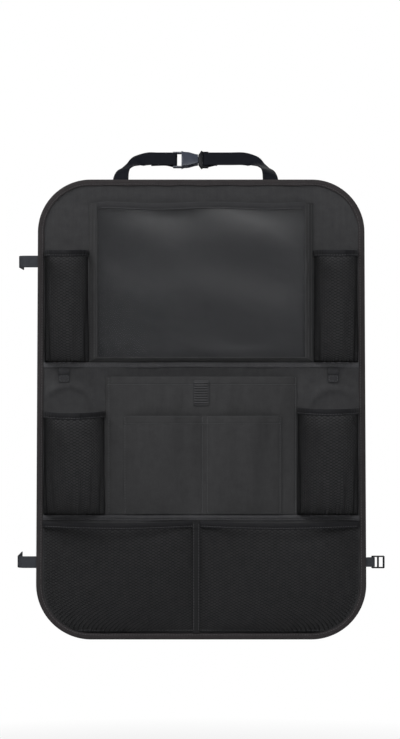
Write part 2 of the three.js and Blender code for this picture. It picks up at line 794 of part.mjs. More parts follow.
// Side strap: out from behind the panel's edge, then bent back.
function sideStrap(name, z) {
  const edge = -sideAt(z);
  const y = strapRootY - strapThick / 2 + sideStrapThick / 2;
  const turnX = edge - sideStrapOut;
  const route = [[edge + sideStrapRoot, y], [edge, y], [turnX, y]];
  for (let step = 1; step <= turnSteps; step += 1) {
    const angle = (step * Math.PI) / (2 * turnSteps);
    route.push([turnX - sideStrapBend * Math.sin(angle), y + sideStrapBend * (1 - Math.cos(angle))]);
  }
  route.push([turnX - sideStrapBend, y + sideStrapBend + sideStrapBack]);
  const across = new THREE.Vector3(0, 0, 1);
  const stations = route.map(([x, back]) => ({ middle: new THREE.Vector3(x, back, z), across }));
  return part(name, ribbon(stations, sideStrapWidth, sideStrapThick), sideWebbing);
}

// Narrow tab at the lower right: from behind the panel's edge, round the slider's bar and back.
function sliderTab() {
  const edge = sideAt(lowerSideStrapZ);
  const y = strapRootY - strapThick / 2 + sideStrapThick / 2;
  const radius = tabLoopRadius();
  const barX = edge + tabReach + radius;
  const route = [[edge - sideStrapRoot, y], [edge, y], [barX, y]];
  for (let step = 1; step <= turnSteps; step += 1) {
    const angle = (step * Math.PI) / turnSteps;
    route.push([barX + radius * Math.sin(angle), y + radius * (1 - Math.cos(angle))]);
  }
  const tailY = y + sideStrapThick + seam;
  route.push([barX - tabTailEase, tailY], [edge - sideStrapRoot, tailY]);
  const across = new THREE.Vector3(0, 0, 1);
  const middles = route.map(([x, back]) => new THREE.Vector3(x, back, lowerSideStrapZ));
  const stations = middles.map((middle) => ({ middle, across }));
  return part("slider_tab", ribbon(stations, tabWidth, sideStrapThick), sideWebbing);
}

// Radius of the tab's middle layer round the slider's bar.
function tabLoopRadius() {
  return Math.hypot(sliderBarWidth, sliderThick) / 2 + seam + sideStrapThick / 2;
}

// Plastic slider: a rounded plate with two slots and a bar between them.
function strapSlider() {
  const edge = sideAt(lowerSideStrapZ);
  const radius = tabLoopRadius();
  const barX = edge + tabReach + radius;
  const y = strapRootY - strapThick / 2 + sideStrapThick / 2 + radius;
  const slotHigh = tabWidth / 2 + seam;
  const high = slotHigh + sliderRim;
  const left = -sliderBarWidth / 2;
  const right = left + 3 * sliderBarWidth + 2 * sliderSlot;
  const corners = rectangle(left, right, -high, high);
  const outline = roundedOutline(corners, corners.map(() => sliderCorner), 3);
  let solid = solidOf(plate(outline, -sliderThick / 2, sliderThick));
  for (const n of [0, 1]) {
    const start = left + sliderBarWidth + n * (sliderBarWidth + sliderSlot);
    solid = solid.subtract(block(start, start + sliderSlot, -sliderThick, sliderThick, -slotHigh, slotHigh));
  }
  const slider = part("strap_slider", geometryOf(solid), plastic);
  slider.position.set(barX, y, lowerSideStrapZ);
  return slider;
}

// Finishes, by colour, roughness and metalness
const oxford = [0x35353a, 0.95, 0];
const bindingTape = [0x2c282b, 0.9, 0];
const tapeFabric = [0x303035, 0.9, 0];
const elastic = [0x2a2b31, 0.85, 0];
const netting = [0x26262b, 0.8, 0];
const clearFilm = [0xc8d0d6, 0.12, 0];
const rubber = [0x3a3a3f, 0.7, 0];
const webbing = [0x303136, 0.9, 0];
const strapWebbing = [0x1c1f26, 0.85, 0];
const sideWebbing = [0x3a3d42, 0.9, 0];
const plastic = [0x24272c, 0.4, 0];

// Named mesh of one sub-part.
function part(name, geometry, [color, roughness, metalness]) {
  const material = new THREE.MeshStandardMaterial({ color, roughness, metalness });
  const mesh = new THREE.Mesh(geometry, material);
  mesh.name = name;
  return mesh;
}

// Both net pockets of one row. The outer edge lies by the binding and the inner one by what they flank.
function pocketPair(names, bottom, innerSide, heights, depth, pinches, columns, rows) {
  const margin = 2 * seam + hemThick;
  return names.flatMap((name, n) => {
    const top = bottom + heights[n];
    const outer = Math.min(freeSideAt(top), freeSideAt(bottom)) - margin;
    const inner = innerSide + margin;
    const [left, right] = n === 0 ? [-outer, -inner] : [inner, outer];
    return netPocket(name, { left, right, top, bottom, depth, pinch: pinches[n] }, columns, rows);
  });
}

const organizer = new THREE.Group();
organizer.add(mainPanel(), edgeBinding());
organizer.add(tapeAcross("cross_tape", crossTapeZ, crossTapeHeight));
organizer.add(tapeAcross("hem_tape", hemTapeZ, hemTapeHeight));
organizer.add(tabletFrame(), tabletWindow(), tabletHem());
organizer.add(...pocketPair(
  ["bottle_left", "bottle_right"], crossTapeTop + seam, tabletFrameWidth / 2,
  [bottlePocketHeight, bottlePocketHeight], bottlePocketDepth, [bottlePinch, bottlePinch],
  bottleNetColumns, bottleNetRows,
));
organizer.add(...pocketPair(
  ["cup_left", "cup_right"], hemTapeTop + seam, documentSide,
  [cupPocketHeight, wideBottlePocketHeight], cupPocketDepth, [cupPinch, wideBottlePinch],
  cupNetColumns, cupNetRows,
));
organizer.add(...documentPockets(), ribbedPatch());
organizer.add(hangingLoop("hanging_loop_left", leftLoopX), hangingLoop("hanging_loop_right", rightLoopX));
organizer.add(...lowerPockets());
organizer.add(topStrap("top_strap_left", leftStrapX, 1, socketBarX, leftTailLength));
organizer.add(topStrap("top_strap_right", rightStrapX, -1, plugBarX, rightTailLength));
buckleFrame.add(part("buckle_socket", geometryOf(buckleSocket()), plastic));
buckleFrame.add(part("buckle_plug", geometryOf(bucklePlug()), plastic));
organizer.add(buckleFrame);
organizer.add(sideStrap("side_strap_upper", upperSideStrapZ));
organizer.add(sideStrap("side_strap_lower", lowerSideStrapZ));
organizer.add(sliderTab(), strapSlider());

export default organizer;
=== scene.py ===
"""Car seat back organizer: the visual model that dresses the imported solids.

Sizes in this file are millimetres, and a mesh goes into Blender in metres. The frame is the CAD's: +X to
the right, +Y behind the panel and +Z up. The pockets face -Y.
"""
import logging
import math
from dataclasses import dataclass
from enum import Enum
from functools import cache
from typing import Callable, Sequence

import bmesh
import bpy
import numpy as np
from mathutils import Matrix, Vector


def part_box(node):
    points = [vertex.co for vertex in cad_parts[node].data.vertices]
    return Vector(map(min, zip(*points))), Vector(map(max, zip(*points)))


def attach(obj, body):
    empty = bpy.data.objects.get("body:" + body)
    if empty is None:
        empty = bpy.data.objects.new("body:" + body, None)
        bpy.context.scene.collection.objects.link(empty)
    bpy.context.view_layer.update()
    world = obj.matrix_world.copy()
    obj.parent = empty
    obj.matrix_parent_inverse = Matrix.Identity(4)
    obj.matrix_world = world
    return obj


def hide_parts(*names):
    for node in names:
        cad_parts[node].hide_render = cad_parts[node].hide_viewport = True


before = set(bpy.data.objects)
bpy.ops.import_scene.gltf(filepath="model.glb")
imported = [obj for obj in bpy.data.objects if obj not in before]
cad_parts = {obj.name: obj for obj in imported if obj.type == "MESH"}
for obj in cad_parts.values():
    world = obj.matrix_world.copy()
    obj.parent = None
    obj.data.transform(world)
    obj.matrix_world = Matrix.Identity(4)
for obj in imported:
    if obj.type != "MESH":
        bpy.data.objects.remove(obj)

Array = np.ndarray
Surface = Callable[[Array, Array], Array]
Piece = bpy.types.Object
Node = bpy.types.Node
Socket = bpy.types.NodeSocket
Tree = bpy.types.NodeTree

logging.basicConfig(level=logging.INFO, format="%(message)s")
log = logging.getLogger("organizer")

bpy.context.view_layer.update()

MM = 0.001
SEAM = 0.3
PANEL_FRONT = 2.8
CLOTH = 1.0
WAVES = 7
STITCH_PITCH, STITCH_LENGTH, THREAD_THICK = 3.4, 2.5, 0.42
SEWN_IN = 0.45
OUT = np.array([0.0, -1.0, 0.0])
UP = np.array([0.0, 0.0, 1.0])
RIGHT = np.array([1.0, 0.0, 0.0])


# Colours and nodes

# Patches of dye, fibres and slubs, and the grain of a mould, in millimetres.
DRIFT, FIBRE, SLUB, GRAIN = 9.0, 1.1, 2.6, 0.7
STREAK = (1.0, 1.0, 0.05)
FILM_WAVE, FILM_DEPTH, FILM_IOR = 45.0, 0.8, 1.53


def linear(hex_colour: int) -> tuple[float, float, float, float]:
    """Turns an sRGB hex colour into Blender's linear colour.

    Args:
        hex_colour: the colour as 0xRRGGBB.

    Returns:
        Linear red, green and blue, and an alpha of 1.
    """
    parts = [((hex_colour >> shift) & 0xFF) / 255 for shift in (16, 8, 0)]
    low = [part / 12.92 if part <= 0.04045 else ((part + 0.055) / 1.055) ** 2.4 for part in parts]
    return (*low, 1.0)


def add_node(tree: Tree, kind: str, inputs: dict | None = None, **settings) -> Node:
    """Adds a node with its settings, its input values and its links.

    Args:
        tree: the node tree.
        kind: the node's type.
        inputs: values or output sockets by the name or number of the input.
        **settings: the node's own properties.

    Returns:
        The new node.
    """
    node = tree.nodes.new(kind)
    for name, value in settings.items():
        setattr(node, name, value)
    for key, value in (inputs or {}).items():
        if isinstance(value, Socket):
            tree.links.new(value, node.inputs[key])
        else:
            node.inputs[key].default_value = value
    return node


class Coordinates(Enum):
    """Where a pattern gets its place from: the panel's own frame, or the length and width of a strip."""

    PANEL = "Object"
    ALONG = "UV"


@dataclass(frozen=True)
class Finish:
    """What every finish has: a name, two close shades, how it takes the light and the depth of its relief.

    The colour drifts between the two shades as dye and handling leave it, and the crests of the relief are
    painted lighter as a painted highlight. The roughness is the same all over. The relief is the fine
    spark-eroded grain of a mould, unless a kind of finish draws its own.
    """

    name: str
    colour: int
    second: int
    roughness: float
    sheen: float = 0.0
    specular: float = 0.3
    depth: float = 0.03
    coordinates: Coordinates = Coordinates.PANEL

    def make(self) -> bpy.types.Material:
        """Builds the node material.

        Returns:
            The material.
        """
        material = bpy.data.materials.new(self.name)
        material.use_nodes = True
        tree = material.node_tree
        shader = tree.nodes["Principled BSDF"]
        shader.inputs["Roughness"].default_value = self.roughness
        shader.inputs["Specular IOR Level"].default_value = self.specular
        shader.inputs["Sheen Weight"].default_value = self.sheen
        shader.inputs["Sheen Roughness"].default_value = 0.6
        self.paint(tree, shader, add_node(tree, "ShaderNodeTexCoord").outputs[self.coordinates.value])
        return material

    def paint(self, tree: Tree, shader: Node, place: Socket) -> None:
        """Paints the drift of colour, with fibres and long slubs in it, a painted highlight on the relief's
        crests, and the surface's relief.

        Args:
            tree: the material's node tree.
            shader: its Principled node.
            place: the coordinates, in metres.
        """
        relief = self.relief(tree, place)
        patches = add_node(tree, "ShaderNodeTexNoise", {"Vector": place, "Scale": 1 / (DRIFT * MM),
                                                        "Detail": 3.0, "Roughness": 0.55})
        fibres = add_node(tree, "ShaderNodeTexNoise", {"Vector": place, "Scale": 1 / (FIBRE * MM),
                                                       "Detail": 2.0, "Roughness": 0.6})
        blend = add_node(tree, "ShaderNodeMath", {0: patches.outputs["Fac"], 1: fibres.outputs["Fac"]},
                         operation="ADD")
        centred = add_node(tree, "ShaderNodeMath", {0: blend.outputs[0], 1: 1.6, 2: -1.1},
                           operation="MULTIPLY_ADD", use_clamp=True)
        longer = add_node(tree, "ShaderNodeVectorMath", {0: place, 1: STREAK}, operation="MULTIPLY")
        slubs = add_node(tree, "ShaderNodeTexNoise", {"Vector": longer.outputs[0], "Scale": 1 / (SLUB * MM),
                                                      "Detail": 1.0})
        # Painted highlight: the crests of the relief are painted lighter, together with the yarn's own
        # slubs.
        crests_and_slubs = add_node(tree, "ShaderNodeMath", {0: relief, 1: slubs.outputs["Fac"]}, operation="ADD")
        crest_highlight_and_slubs = add_node(tree, "ShaderNodeMath", {0: crests_and_slubs.outputs[0], 1: 0.4, 2: -0.15},
                          operation="MULTIPLY_ADD")
        amount = add_node(tree, "ShaderNodeMath", {0: centred.outputs[0], 1: 0.6, 2: crest_highlight_and_slubs.outputs[0]},
                          operation="MULTIPLY_ADD", use_clamp=True)
        self.tint(tree, shader, amount.outputs[0])
        bump = add_node(tree, "ShaderNodeBump", {"Height": relief, "Strength": 0.8,
                                                 "Distance": self.depth * MM})
        tree.links.new(bump.outputs["Normal"], shader.inputs["Normal"])

    def tint(self, tree: Tree, shader: Node, amount: Socket) -> None:
        """Colours the shader between the finish's two shades.

        Args:
            tree: the material's node tree.
            shader: its Principled node.
            amount: 0 for the second shade, 1 for the first.
        """
        shade = add_node(tree, "ShaderNodeMix", {"Factor": amount}, data_type="RGBA")
        low, high = [socket for socket in shade.inputs if socket.type == "RGBA"]
        low.default_value, high.default_value = linear(self.second), linear(self.colour)
        colour = [socket for socket in shade.outputs if socket.type == "RGBA"]
        tree.links.new(colour[0], shader.inputs["Base Color"])

    def relief(self, tree: Tree, place: Socket) -> Socket:
        """Draws the relief of the surface, from 0 to 1: here a fine noise."""
        settings = {"Vector": place, "Scale": 1 / (GRAIN * MM), "Detail": 4.0}
        return add_node(tree, "ShaderNodeTexNoise", settings).outputs["Fac"]

    def sines(self, tree: Tree, place: Socket, wide: float, tall: float) -> list[Socket]:
        """Gives the sines of the places across and up, or across and along a strip.

        Args:
            tree: the material's node tree.
            place: the coordinates, in metres.
            wide: the length of one period across, in millimetres.
            tall: the length of one period up or along.

        Returns:
            Both sines, from -1 to 1.
        """
        parts = add_node(tree, "ShaderNodeSeparateXYZ", {0: place})
        rising = "Z" if self.coordinates is Coordinates.PANEL else "Y"
        found = []
        for axis, pitch in (("X", wide), (rising, tall)):
            inputs = {0: parts.outputs[axis], 1: 2 * math.pi / (pitch * MM)}
            turned = add_node(tree, "ShaderNodeMath", inputs, operation="MULTIPLY")
            sine = add_node(tree, "ShaderNodeMath", {0: turned.outputs[0]}, operation="SINE")
            found.append(sine.outputs[0])
        return found


@dataclass(frozen=True)
class Woven(Finish):
    """Plain weave: the warp and the weft lie over each other in turn, yarn millimetres apart.

    The real yarns of 600 denier oxford cloth lie about 0.55 mm apart. They are drawn 0.9 mm apart, so that
    the grain shows in a render where a pixel is more than a millimetre.
    """

    yarn: float = 0.9
    depth: float = 0.12

    def relief(self, tree: Tree, place: Socket) -> Socket:
        """Multiplies a sine across by a sine along, which lifts every second crossing.

        Args:
            tree: the material's node tree.
            place: the coordinates, in metres.

        Returns:
            The relief, from 0 to 1.
        """
        across, along = self.sines(tree, place, 2 * self.yarn, 2 * self.yarn)
        crossing = add_node(tree, "ShaderNodeMath", {0: across, 1: along}, operation="MULTIPLY")
        return add_node(tree, "ShaderNodeMath", {0: crossing.outputs[0], 1: 0.5, 2: 0.5},
                        operation="MULTIPLY_ADD").outputs[0]


@dataclass(frozen=True)
class Ribbed(Finish):
    """Ribs across or along a band, as in webbing, grosgrain tape and elastic, crossed by finer yarns.

    Real ribs of such tapes lie 0.8 to 1.2 mm apart. They are drawn as coarse as they need to show.
    """

    rib: float = 1.4
    yarn: float = 0.8
    depth: float = 0.2
    lengthwise: bool = False

    def relief(self, tree: Tree, place: Socket) -> Socket:
        """Adds the sine of the ribs to a weaker sine of the yarns.

        Args:
            tree: the material's node tree.
            place: the coordinates, in metres.

        Returns:
            The relief, from 0 to 1.
        """
        if self.lengthwise:
            strong, fine = self.sines(tree, place, self.rib, self.yarn)
        else:
            fine, strong = self.sines(tree, place, self.yarn, self.rib)
        mixed = add_node(tree, "ShaderNodeMath", {0: fine, 1: 0.4, 2: strong}, operation="MULTIPLY_ADD")
        return add_node(tree, "ShaderNodeMath", {0: mixed.outputs[0], 1: 0.35, 2: 0.5},
                        operation="MULTIPLY_ADD").outputs[0]


@dataclass(frozen=True)
class ClearFilm(Finish):
    """Soft clear PVC film: nearly colourless, glossy, with shallow waves that bend its highlights."""

    cover: float = 0.12

    def paint(self, tree: Tree, shader: Node, place: Socket) -> None:
        """Sets the film's cover and gives it shallow waves.

        Args:
            tree: the material's node tree.
            shader: its Principled node.
            place: the coordinates, in metres.
        """
        shader.inputs["Alpha"].default_value = self.cover
        shader.inputs["IOR"].default_value = FILM_IOR
        noise = add_node(tree, "ShaderNodeTexNoise", {"Vector": place, "Scale": 1 / (FILM_WAVE * MM),
                                                      "Detail": 1.0})
        self.tint(tree, shader, noise.outputs["Fac"])
        bump = add_node(tree, "ShaderNodeBump", {"Height": noise.outputs["Fac"], "Strength": 0.3,
                                                 "Distance": FILM_DEPTH * MM})
        tree.links.new(bump.outputs["Normal"], shader.inputs["Normal"])


ALONG = Coordinates.ALONG
# A dull mid grey with the dotted grain of plain weave, as the photo shows over the whole panel.
OXFORD = Woven("oxford polyester, plain weave, coated back", 0x363637, 0x252527, 0.85, sheen=0.04)
# The same cloth a little darker, because the pockets lean away from the light.
POCKET_OXFORD = Woven("oxford polyester of the pockets", 0x343435, 0x262627, 0.85, sheen=0.04)
# A darker, faintly warm rim with fine ribs round the edge: it outlines the panel.
BINDING = Ribbed("folded binding tape, polyester", 0x2E2A2B, 0x1F1C1D, 0.82, sheen=0.04, rib=1.1,
                 coordinates=ALONG, lengthwise=True)
# Paler than the cloth: it reads as the light line across the panel.
WOVEN_TAPE = Ribbed("woven seam tape, polyester", 0x454547, 0x333335, 0.8, sheen=0.03, rib=1.2)
# Nearly black, so that it is lost in the net round it as in the photo.
DIVIDER_TAPE = Ribbed("woven tape of the divider", 0x18181A, 0x0F0F11, 0.8, sheen=0.02, rib=1.2)
# A soft light strip over the bottom pockets, with fine ribs across.
PALE_TAPE = Ribbed("folded cloth hem, polyester", 0x3F3F41, 0x2E2E30, 0.82, sheen=0.04, rib=1.2)
# Folded cloth as dark as the frame: it ends the film with a matt edge.
WINDOW_HEM = Ribbed("folded hem of the window", 0x2E2E30, 0x212123, 0.82, sheen=0.04, rib=1.2)
# Near black with ribs across: the dark line at the mouth of each net.
ELASTIC = Ribbed("knitted elastic band", 0x1C1C1F, 0x121214, 0.75, sheen=0.02, rib=1.3, coordinates=ALONG,
                 specular=0.2)
# Black yarn with a dull shine, which sets each knitted hole off from the cloth behind.
NET_YARN = Woven("warp knitted polyester net", 0x101011, 0x0A0A0B, 0.7, specular=0.2, yarn=0.5, depth=0.08,
                 coordinates=ALONG)
# Blue black with ribs along it: the darkest soft part, almost without a highlight.
STRAP_WEBBING = Ribbed("woven polypropylene webbing, blue black", 0x0E1119, 0x080A10, 0.7, specular=0.12,
                       rib=1.5, coordinates=ALONG, lengthwise=True, depth=0.25)
# As grey as the panel and only told from it by its ribs and its stitching.
LOOP_WEBBING = Ribbed("woven webbing of the loops", 0x353537, 0x262628, 0.75, specular=0.2, rib=1.5,
                      coordinates=ALONG, lengthwise=True, depth=0.25)
# The palest webbing, a cool grey with ribs along it.
SIDE_WEBBING = Ribbed("woven polyester webbing, grey", 0x3C3E42, 0x2B2D31, 0.75, specular=0.2, rib=1.5,
                      coordinates=ALONG, lengthwise=True, depth=0.25)
# Paler than all cloth, so that the rows of stitches show as fine light lines.
THREAD = Woven("twisted polyester thread", 0x5E5E60, 0x48484A, 0.6, yarn=0.3, depth=0.05, coordinates=ALONG)
# Blue grey: the plastic's own dark colour painted lighter as a painted reflection of a bright room, with a
# satin highlight along each rounded edge, which tells plastic from webbing.
REFLECTION_PAINTED_ACETAL = Finish("moulded acetal, satin", 0x3A3F4B, 0x2C303A, 0.3, specular=0.6)
# The same plastic in its own dark colour, without the painted reflection: the plug's bars and the slider.
DARK_ACETAL = Finish("moulded acetal, satin, dark", 0x101217, 0x0A0B0E, 0.5, specular=0.2)
# Dull and soft, with a broad highlight on each rib.
SOFT_RUBBER = Finish("moulded soft PVC, ribbed", 0x2E2E30, 0x222224, 0.6, specular=0.35)
# A thin grey veil over the panel, with a soft glare near its top.
FILM = ClearFilm("clear PVC film", 0x303337, 0x23262A, 0.24, specular=0.6)


# Shapes


@dataclass
class Shape:
    """A mesh before it goes into Blender.

    Args:
        points: its points in millimetres, (n, 3).
        faces: arrays of point numbers, one array for each count of corners.
        flat: a flat coordinate in millimetres for each point, (n, 2), which patterns follow.
    """

    points: Array
    faces: list[Array]
    flat: Array

    @staticmethod
    def sheet(front: Array, back: Array, flat: Array) -> "Shape":
        """Closes two surfaces over the same grid into a sheet, with a rim between their edges.

        Args:
            front: the front surface, (rows, columns, 3).
            back: the back surface, (rows, columns, 3).
            flat: the flat coordinates, (rows, columns, 2).

        Returns:
            The closed sheet.
        """
        count = front.shape[0] * front.shape[1]
        index = np.arange(count).reshape(front.shape[:2])
        corners = [index[:-1, :-1], index[:-1, 1:], index[1:, 1:], index[1:, :-1]]
        quads = np.stack([corner.ravel() for corner in corners], axis=1)
        rim = np.concatenate([index[0, :-1], index[:-1, -1], index[-1, :0:-1], index[:0:-1, 0]])
        after = np.roll(rim, -1)
        wall = np.stack([after, rim, rim + count, after + count], axis=1)
        points = np.concatenate([front.reshape(-1, 3), back.reshape(-1, 3)])
        flats = np.concatenate([flat.reshape(-1, 2)] * 2)
        return Shape(points, [np.concatenate([quads, quads[:, ::-1] + count, wall])], flats).turned_out()

    @staticmethod
    def tube(rings: Array, flat: Array, closed: bool = False) -> "Shape":
        """Joins rings of points into a tube, capped at both ends unless it closes on itself.

        Args:
            rings: the rings, (stations, points of a ring, 3).
            flat: the flat coordinates, (stations, points of a ring, 2).
            closed: whether the last ring joins the first.

        Returns:
            The closed tube.
        """
        index = np.arange(rings.shape[0] * rings.shape[1]).reshape(rings.shape[:2])
        near = index if closed else index[:-1]
        far = np.roll(index, -1, axis=0) if closed else index[1:]
        corners = [near, np.roll(near, -1, axis=1), np.roll(far, -1, axis=1), far]
        faces = [np.stack([corner.ravel() for corner in corners], axis=1)]
        if not closed:
            faces.append(np.stack([index[0, ::-1], index[-1]]))
        return Shape(rings.reshape(-1, 3), faces, flat.reshape(-1, 2)).turned_out()

    @staticmethod
    def joined(shapes: Sequence["Shape"]) -> "Shape":
        """Puts several shapes into one.

        Args:
            shapes: the shapes.

        Returns:
            One shape with all their points and faces.
        """
        starts = np.cumsum([0] + [len(shape.points) for shape in shapes])
        faces = [face + start for shape, start in zip(shapes, starts) for face in shape.faces]
        points = np.concatenate([shape.points for shape in shapes])
        return Shape(points, faces, np.concatenate([shape.flat for shape in shapes]))

    def turned_out(self) -> "Shape":
        """Turns the faces so that the enclosed volume, the sum of its tetrahedra, is positive.

        Returns:
            The shape itself, or the same one with its faces reversed.
        """
        volume = 0.0
        for face in self.faces:
            corner = self.points[face]
            for k in range(1, face.shape[1] - 1):
                volume += float(np.einsum("ij,ij->", corner[:, 0], np.cross(corner[:, k], corner[:, k + 1])))
        if volume >= 0:
            return self
        return Shape(self.points, [face[:, ::-1] for face in self.faces], self.flat)


@dataclass(frozen=True)
class Look:
    """What a piece is given besides its shape.

    Args:
        finish: its finish.
        slot: the name of a material slot; not used.
        replaces: the CAD node that it stands for, if any.
        crease: the angle in degrees past which an edge is drawn sharp.
    """

    finish: Finish
    slot: str
    replaces: str = ""
    crease: float = 50.0


@cache
def material_of(finish: Finish) -> bpy.types.Material:
    """Builds a finish once and gives the same material after that."""
    return finish.make()


def dress(name: str, mesh: bpy.types.Mesh, look: Look) -> Piece:
    """Makes a mesh a piece of the organizer.

    Args:
        name: the piece's name.
        mesh: its mesh, in metres.
        look: its finish and the node that it stands for.

    Returns:
        The new object.
    """
    mesh.materials.clear()
    mesh.materials.append(material_of(look.finish))
    mesh.shade_smooth()
    mesh.set_sharp_from_angle(angle=math.radians(look.crease))
    piece = bpy.data.objects.new(name, mesh)
    bpy.context.scene.collection.objects.link(piece)
    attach(piece, "root")
    if look.replaces:
        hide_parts(look.replaces)
    log.info("%s: %d points, %d faces", name, len(mesh.vertices), len(mesh.polygons))
    return piece


def place_piece(name: str, shape: Shape, look: Look) -> Piece:
    """Puts a shape into Blender as a piece of the organizer.

    Args:
        name: the piece's name.
        shape: its shape.
        look: its finish and the node that it stands for.

    Returns:
        The new object.
    """
    mesh = bpy.data.meshes.new(name)
    faces = [face.tolist() for group in shape.faces for face in group]
    mesh.from_pydata((shape.points * MM).tolist(), [], faces)
    corners = np.empty(len(mesh.loops), dtype=np.int32)
    mesh.loops.foreach_get("vertex_index", corners)
    layer = mesh.uv_layers.new(name="flat")
    layer.data.foreach_set("uv", (shape.flat[corners] * MM).astype(np.float32).ravel())
    mesh.update()
    return dress(name, mesh, look)


def node_box(node: str) -> tuple[Array, Array]:
    """Gives the lowest and highest corner of a CAD node, in millimetres."""
    low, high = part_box(node)
    return np.array(low) / MM, np.array(high) / MM


def on_panel(x: Array, height: Array, z: Array) -> Array:
    """Gives the points at a height in front of the panel's face, for arrays that broadcast together."""
    x, height, z = np.broadcast_arrays(x, height, z)
    return np.stack([x, -PANEL_FRONT - height, z], axis=-1).astype(float)


def ripples(x: Array, z: Array, seed: int, lengths: tuple[float, float], lean: float) -> Array:
    """Sums seven plane waves of seeded direction, length and phase, scaled to about -1 to 1.

    Args:
        x: places across, in millimetres.
        z: places up, in millimetres.
        seed: the seed of the random numbers.
        lengths: the shortest and the longest wave, in millimetres.
        lean: how far, in radians, a wave's direction may turn from straight across.

    Returns:
        The height of the waves at each place.
    """
    rng = np.random.default_rng(seed)
    turn = rng.uniform(-lean, lean, WAVES)
    scale = 2 * math.pi / rng.uniform(*lengths, WAVES)
    phase = rng.uniform(0, 2 * math.pi, WAVES)
    x, z = np.broadcast_arrays(x, z)
    way = x[..., None] * np.cos(turn) + z[..., None] * np.sin(turn)
    return np.cos(way * scale + phase).sum(axis=-1) / math.sqrt(WAVES)


def smooth(value: Array) -> Array:
    """Eases a value from 0 to 1: 3 times its square less 2 times its cube, held inside 0 and 1."""
    held = np.clip(value, 0, 1)
    return held * held * (3 - 2 * held)


def edge_lines(low: float, high: float, count: int, round_off: float) -> Array:
    """Spreads grid lines evenly, with three more close to each edge for its rounding.

    Args:
        low: the first line.
        high: the last line.
        count: how many even lines there are.
        round_off: the width of the rounded edge.

    Returns:
        All lines in order.
    """
    near = np.array([0.12, 0.45, 1.0]) * round_off
    even = np.linspace(low + 2 * round_off, high - 2 * round_off, count)
    return np.concatenate([[low], low + near, even, high - near[::-1], [high]])


def rounded_thickness(distance: Array, thick: float) -> Array:
    """Gives the thickness of cloth with a rounded edge: it grows by a quarter circle over its thickness."""
    share = np.clip(distance / thick, 0, 1)
    return thick * (0.3 + 0.7 * np.sqrt(1 - (1 - share) ** 2))


def sunk(gap: Array, depth: float = 0.55) -> Array:
    """Gives the groove that a row of stitches pulls into cloth: a bell curve of the distance from it."""
    return depth * np.exp(-((gap / 1.25) ** 2))


def with_rows(lines: Array, rows: Sequence[float]) -> Array:
    """Adds grid lines close to each row of stitches, so that its groove has a round floor.

    Args:
        lines: the grid's lines in order.
        rows: the places of the rows.

    Returns:
        All lines in order, none closer than 0.2 mm to the one before.
    """
    near = np.array([-2.6, -1.7, -1.0, -0.5, 0.0, 0.5, 1.0, 1.7, 2.6])
    extra = np.concatenate([row + near for row in rows])
    extra = extra[(extra > lines[0] + 0.3) & (extra < lines[-1] - 0.3)]
    both = np.sort(np.concatenate([lines, extra]))
    apart = np.concatenate([[True], np.diff(both) > 0.2])
    apart[-1] = True
    return both[apart]


def lengths_along(points: Array) -> Array:
    """Gives the length run at each point of a path, by its first three coordinates."""
    steps = np.linalg.norm(np.diff(points[:, :3], axis=0), axis=1)
    return np.concatenate([[0.0], np.cumsum(steps)])


def even_points(points: Array, steps: int) -> Array:
    """Spreads a path's points, (n, any), evenly along the length of its first three coordinates.

    Args:
        points: the path.
        steps: how many points come back.

    Returns:
        The even points, (steps, any).
    """
    run = lengths_along(points)
    wanted = np.linspace(0, run[-1], steps)
    return np.stack([np.interp(wanted, run, column) for column in points.T], axis=1)


def even_shares(points: Array) -> Callable[[Array], Array]:
    """Turns a share of a path's length into a share of the parameter of its points.

    Args:
        points: points at even parameters of the path.

    Returns:
        The function that does so for an array of shares, held straight beyond both ends.
    """
    run, shares = lengths_along(points), np.linspace(0, 1, 200)
    parameter = np.interp(shares * run[-1], run, np.linspace(0, 1, len(points)))
    return lambda share: np.interp(share, shares, parameter)


def smooth_path(points: Array, steps: int) -> Array:
    """Carries a Catmull-Rom curve through points and spreads the result evenly along its length.

    Args:
        points: the points to pass through, (n, any).
        steps: how many even points come back.

    Returns:
        Points along the curve, (steps, any).
    """
    ends = np.concatenate([[2 * points[0] - points[1]], points, [2 * points[-1] - points[-2]]])
    share = np.linspace(0, 1, 16, endpoint=False)[:, None]
    spans = []
    for before, start, end, after in zip(ends, ends[1:], ends[2:], ends[3:]):
        bend = 2 * before - 5 * start + 4 * end - after
        twist = 3 * (start - end) + after - before
        spans.append(0.5 * (2 * start + (end - before) * share + bend * share**2 + twist * share**3))
    return even_points(np.concatenate([*spans, points[-1:]]), steps)


def unit(vectors: Array) -> Array:
    """Scales vectors to a length of 1."""
    return vectors / np.maximum(np.linalg.norm(vectors, axis=-1, keepdims=True), 1e-9)


def ribbon(path: Array, across: Array, width: float, thick: float) -> Shape:
    """Carries a flat band along a path. Its section is two flats joined by half circles.

    Args:
        path: the middle line of the band, (n, 3).
        across: the direction across the band, one or one for each point.
        width: the width of the band.
        thick: its thickness.

    Returns:
        The closed band. Its flat coordinate runs across it and along it.
    """
    across = np.broadcast_to(across, path.shape)
    through = unit(np.cross(unit(np.gradient(path, axis=0)), across))
    face = thick / 2
    inner = width / 2 - face
    turn = np.linspace(-0.5, 0.5, 5) * math.pi
    arc = np.stack([inner + face * np.cos(turn), face * np.sin(turn)], axis=1)
    level = np.stack([np.linspace(-inner, inner, 7)[1:-1], np.full(5, -face)], axis=1)
    section = np.concatenate([level, arc, -level, -arc])
    rings = path[:, None] + across[:, None] * section[None, :, :1] + through[:, None] * section[None, :, 1:]
    flat = np.stack(np.broadcast_arrays(section[None, :, 0], lengths_along(path)[:, None]), axis=-1)
    return Shape.tube(rings, flat)


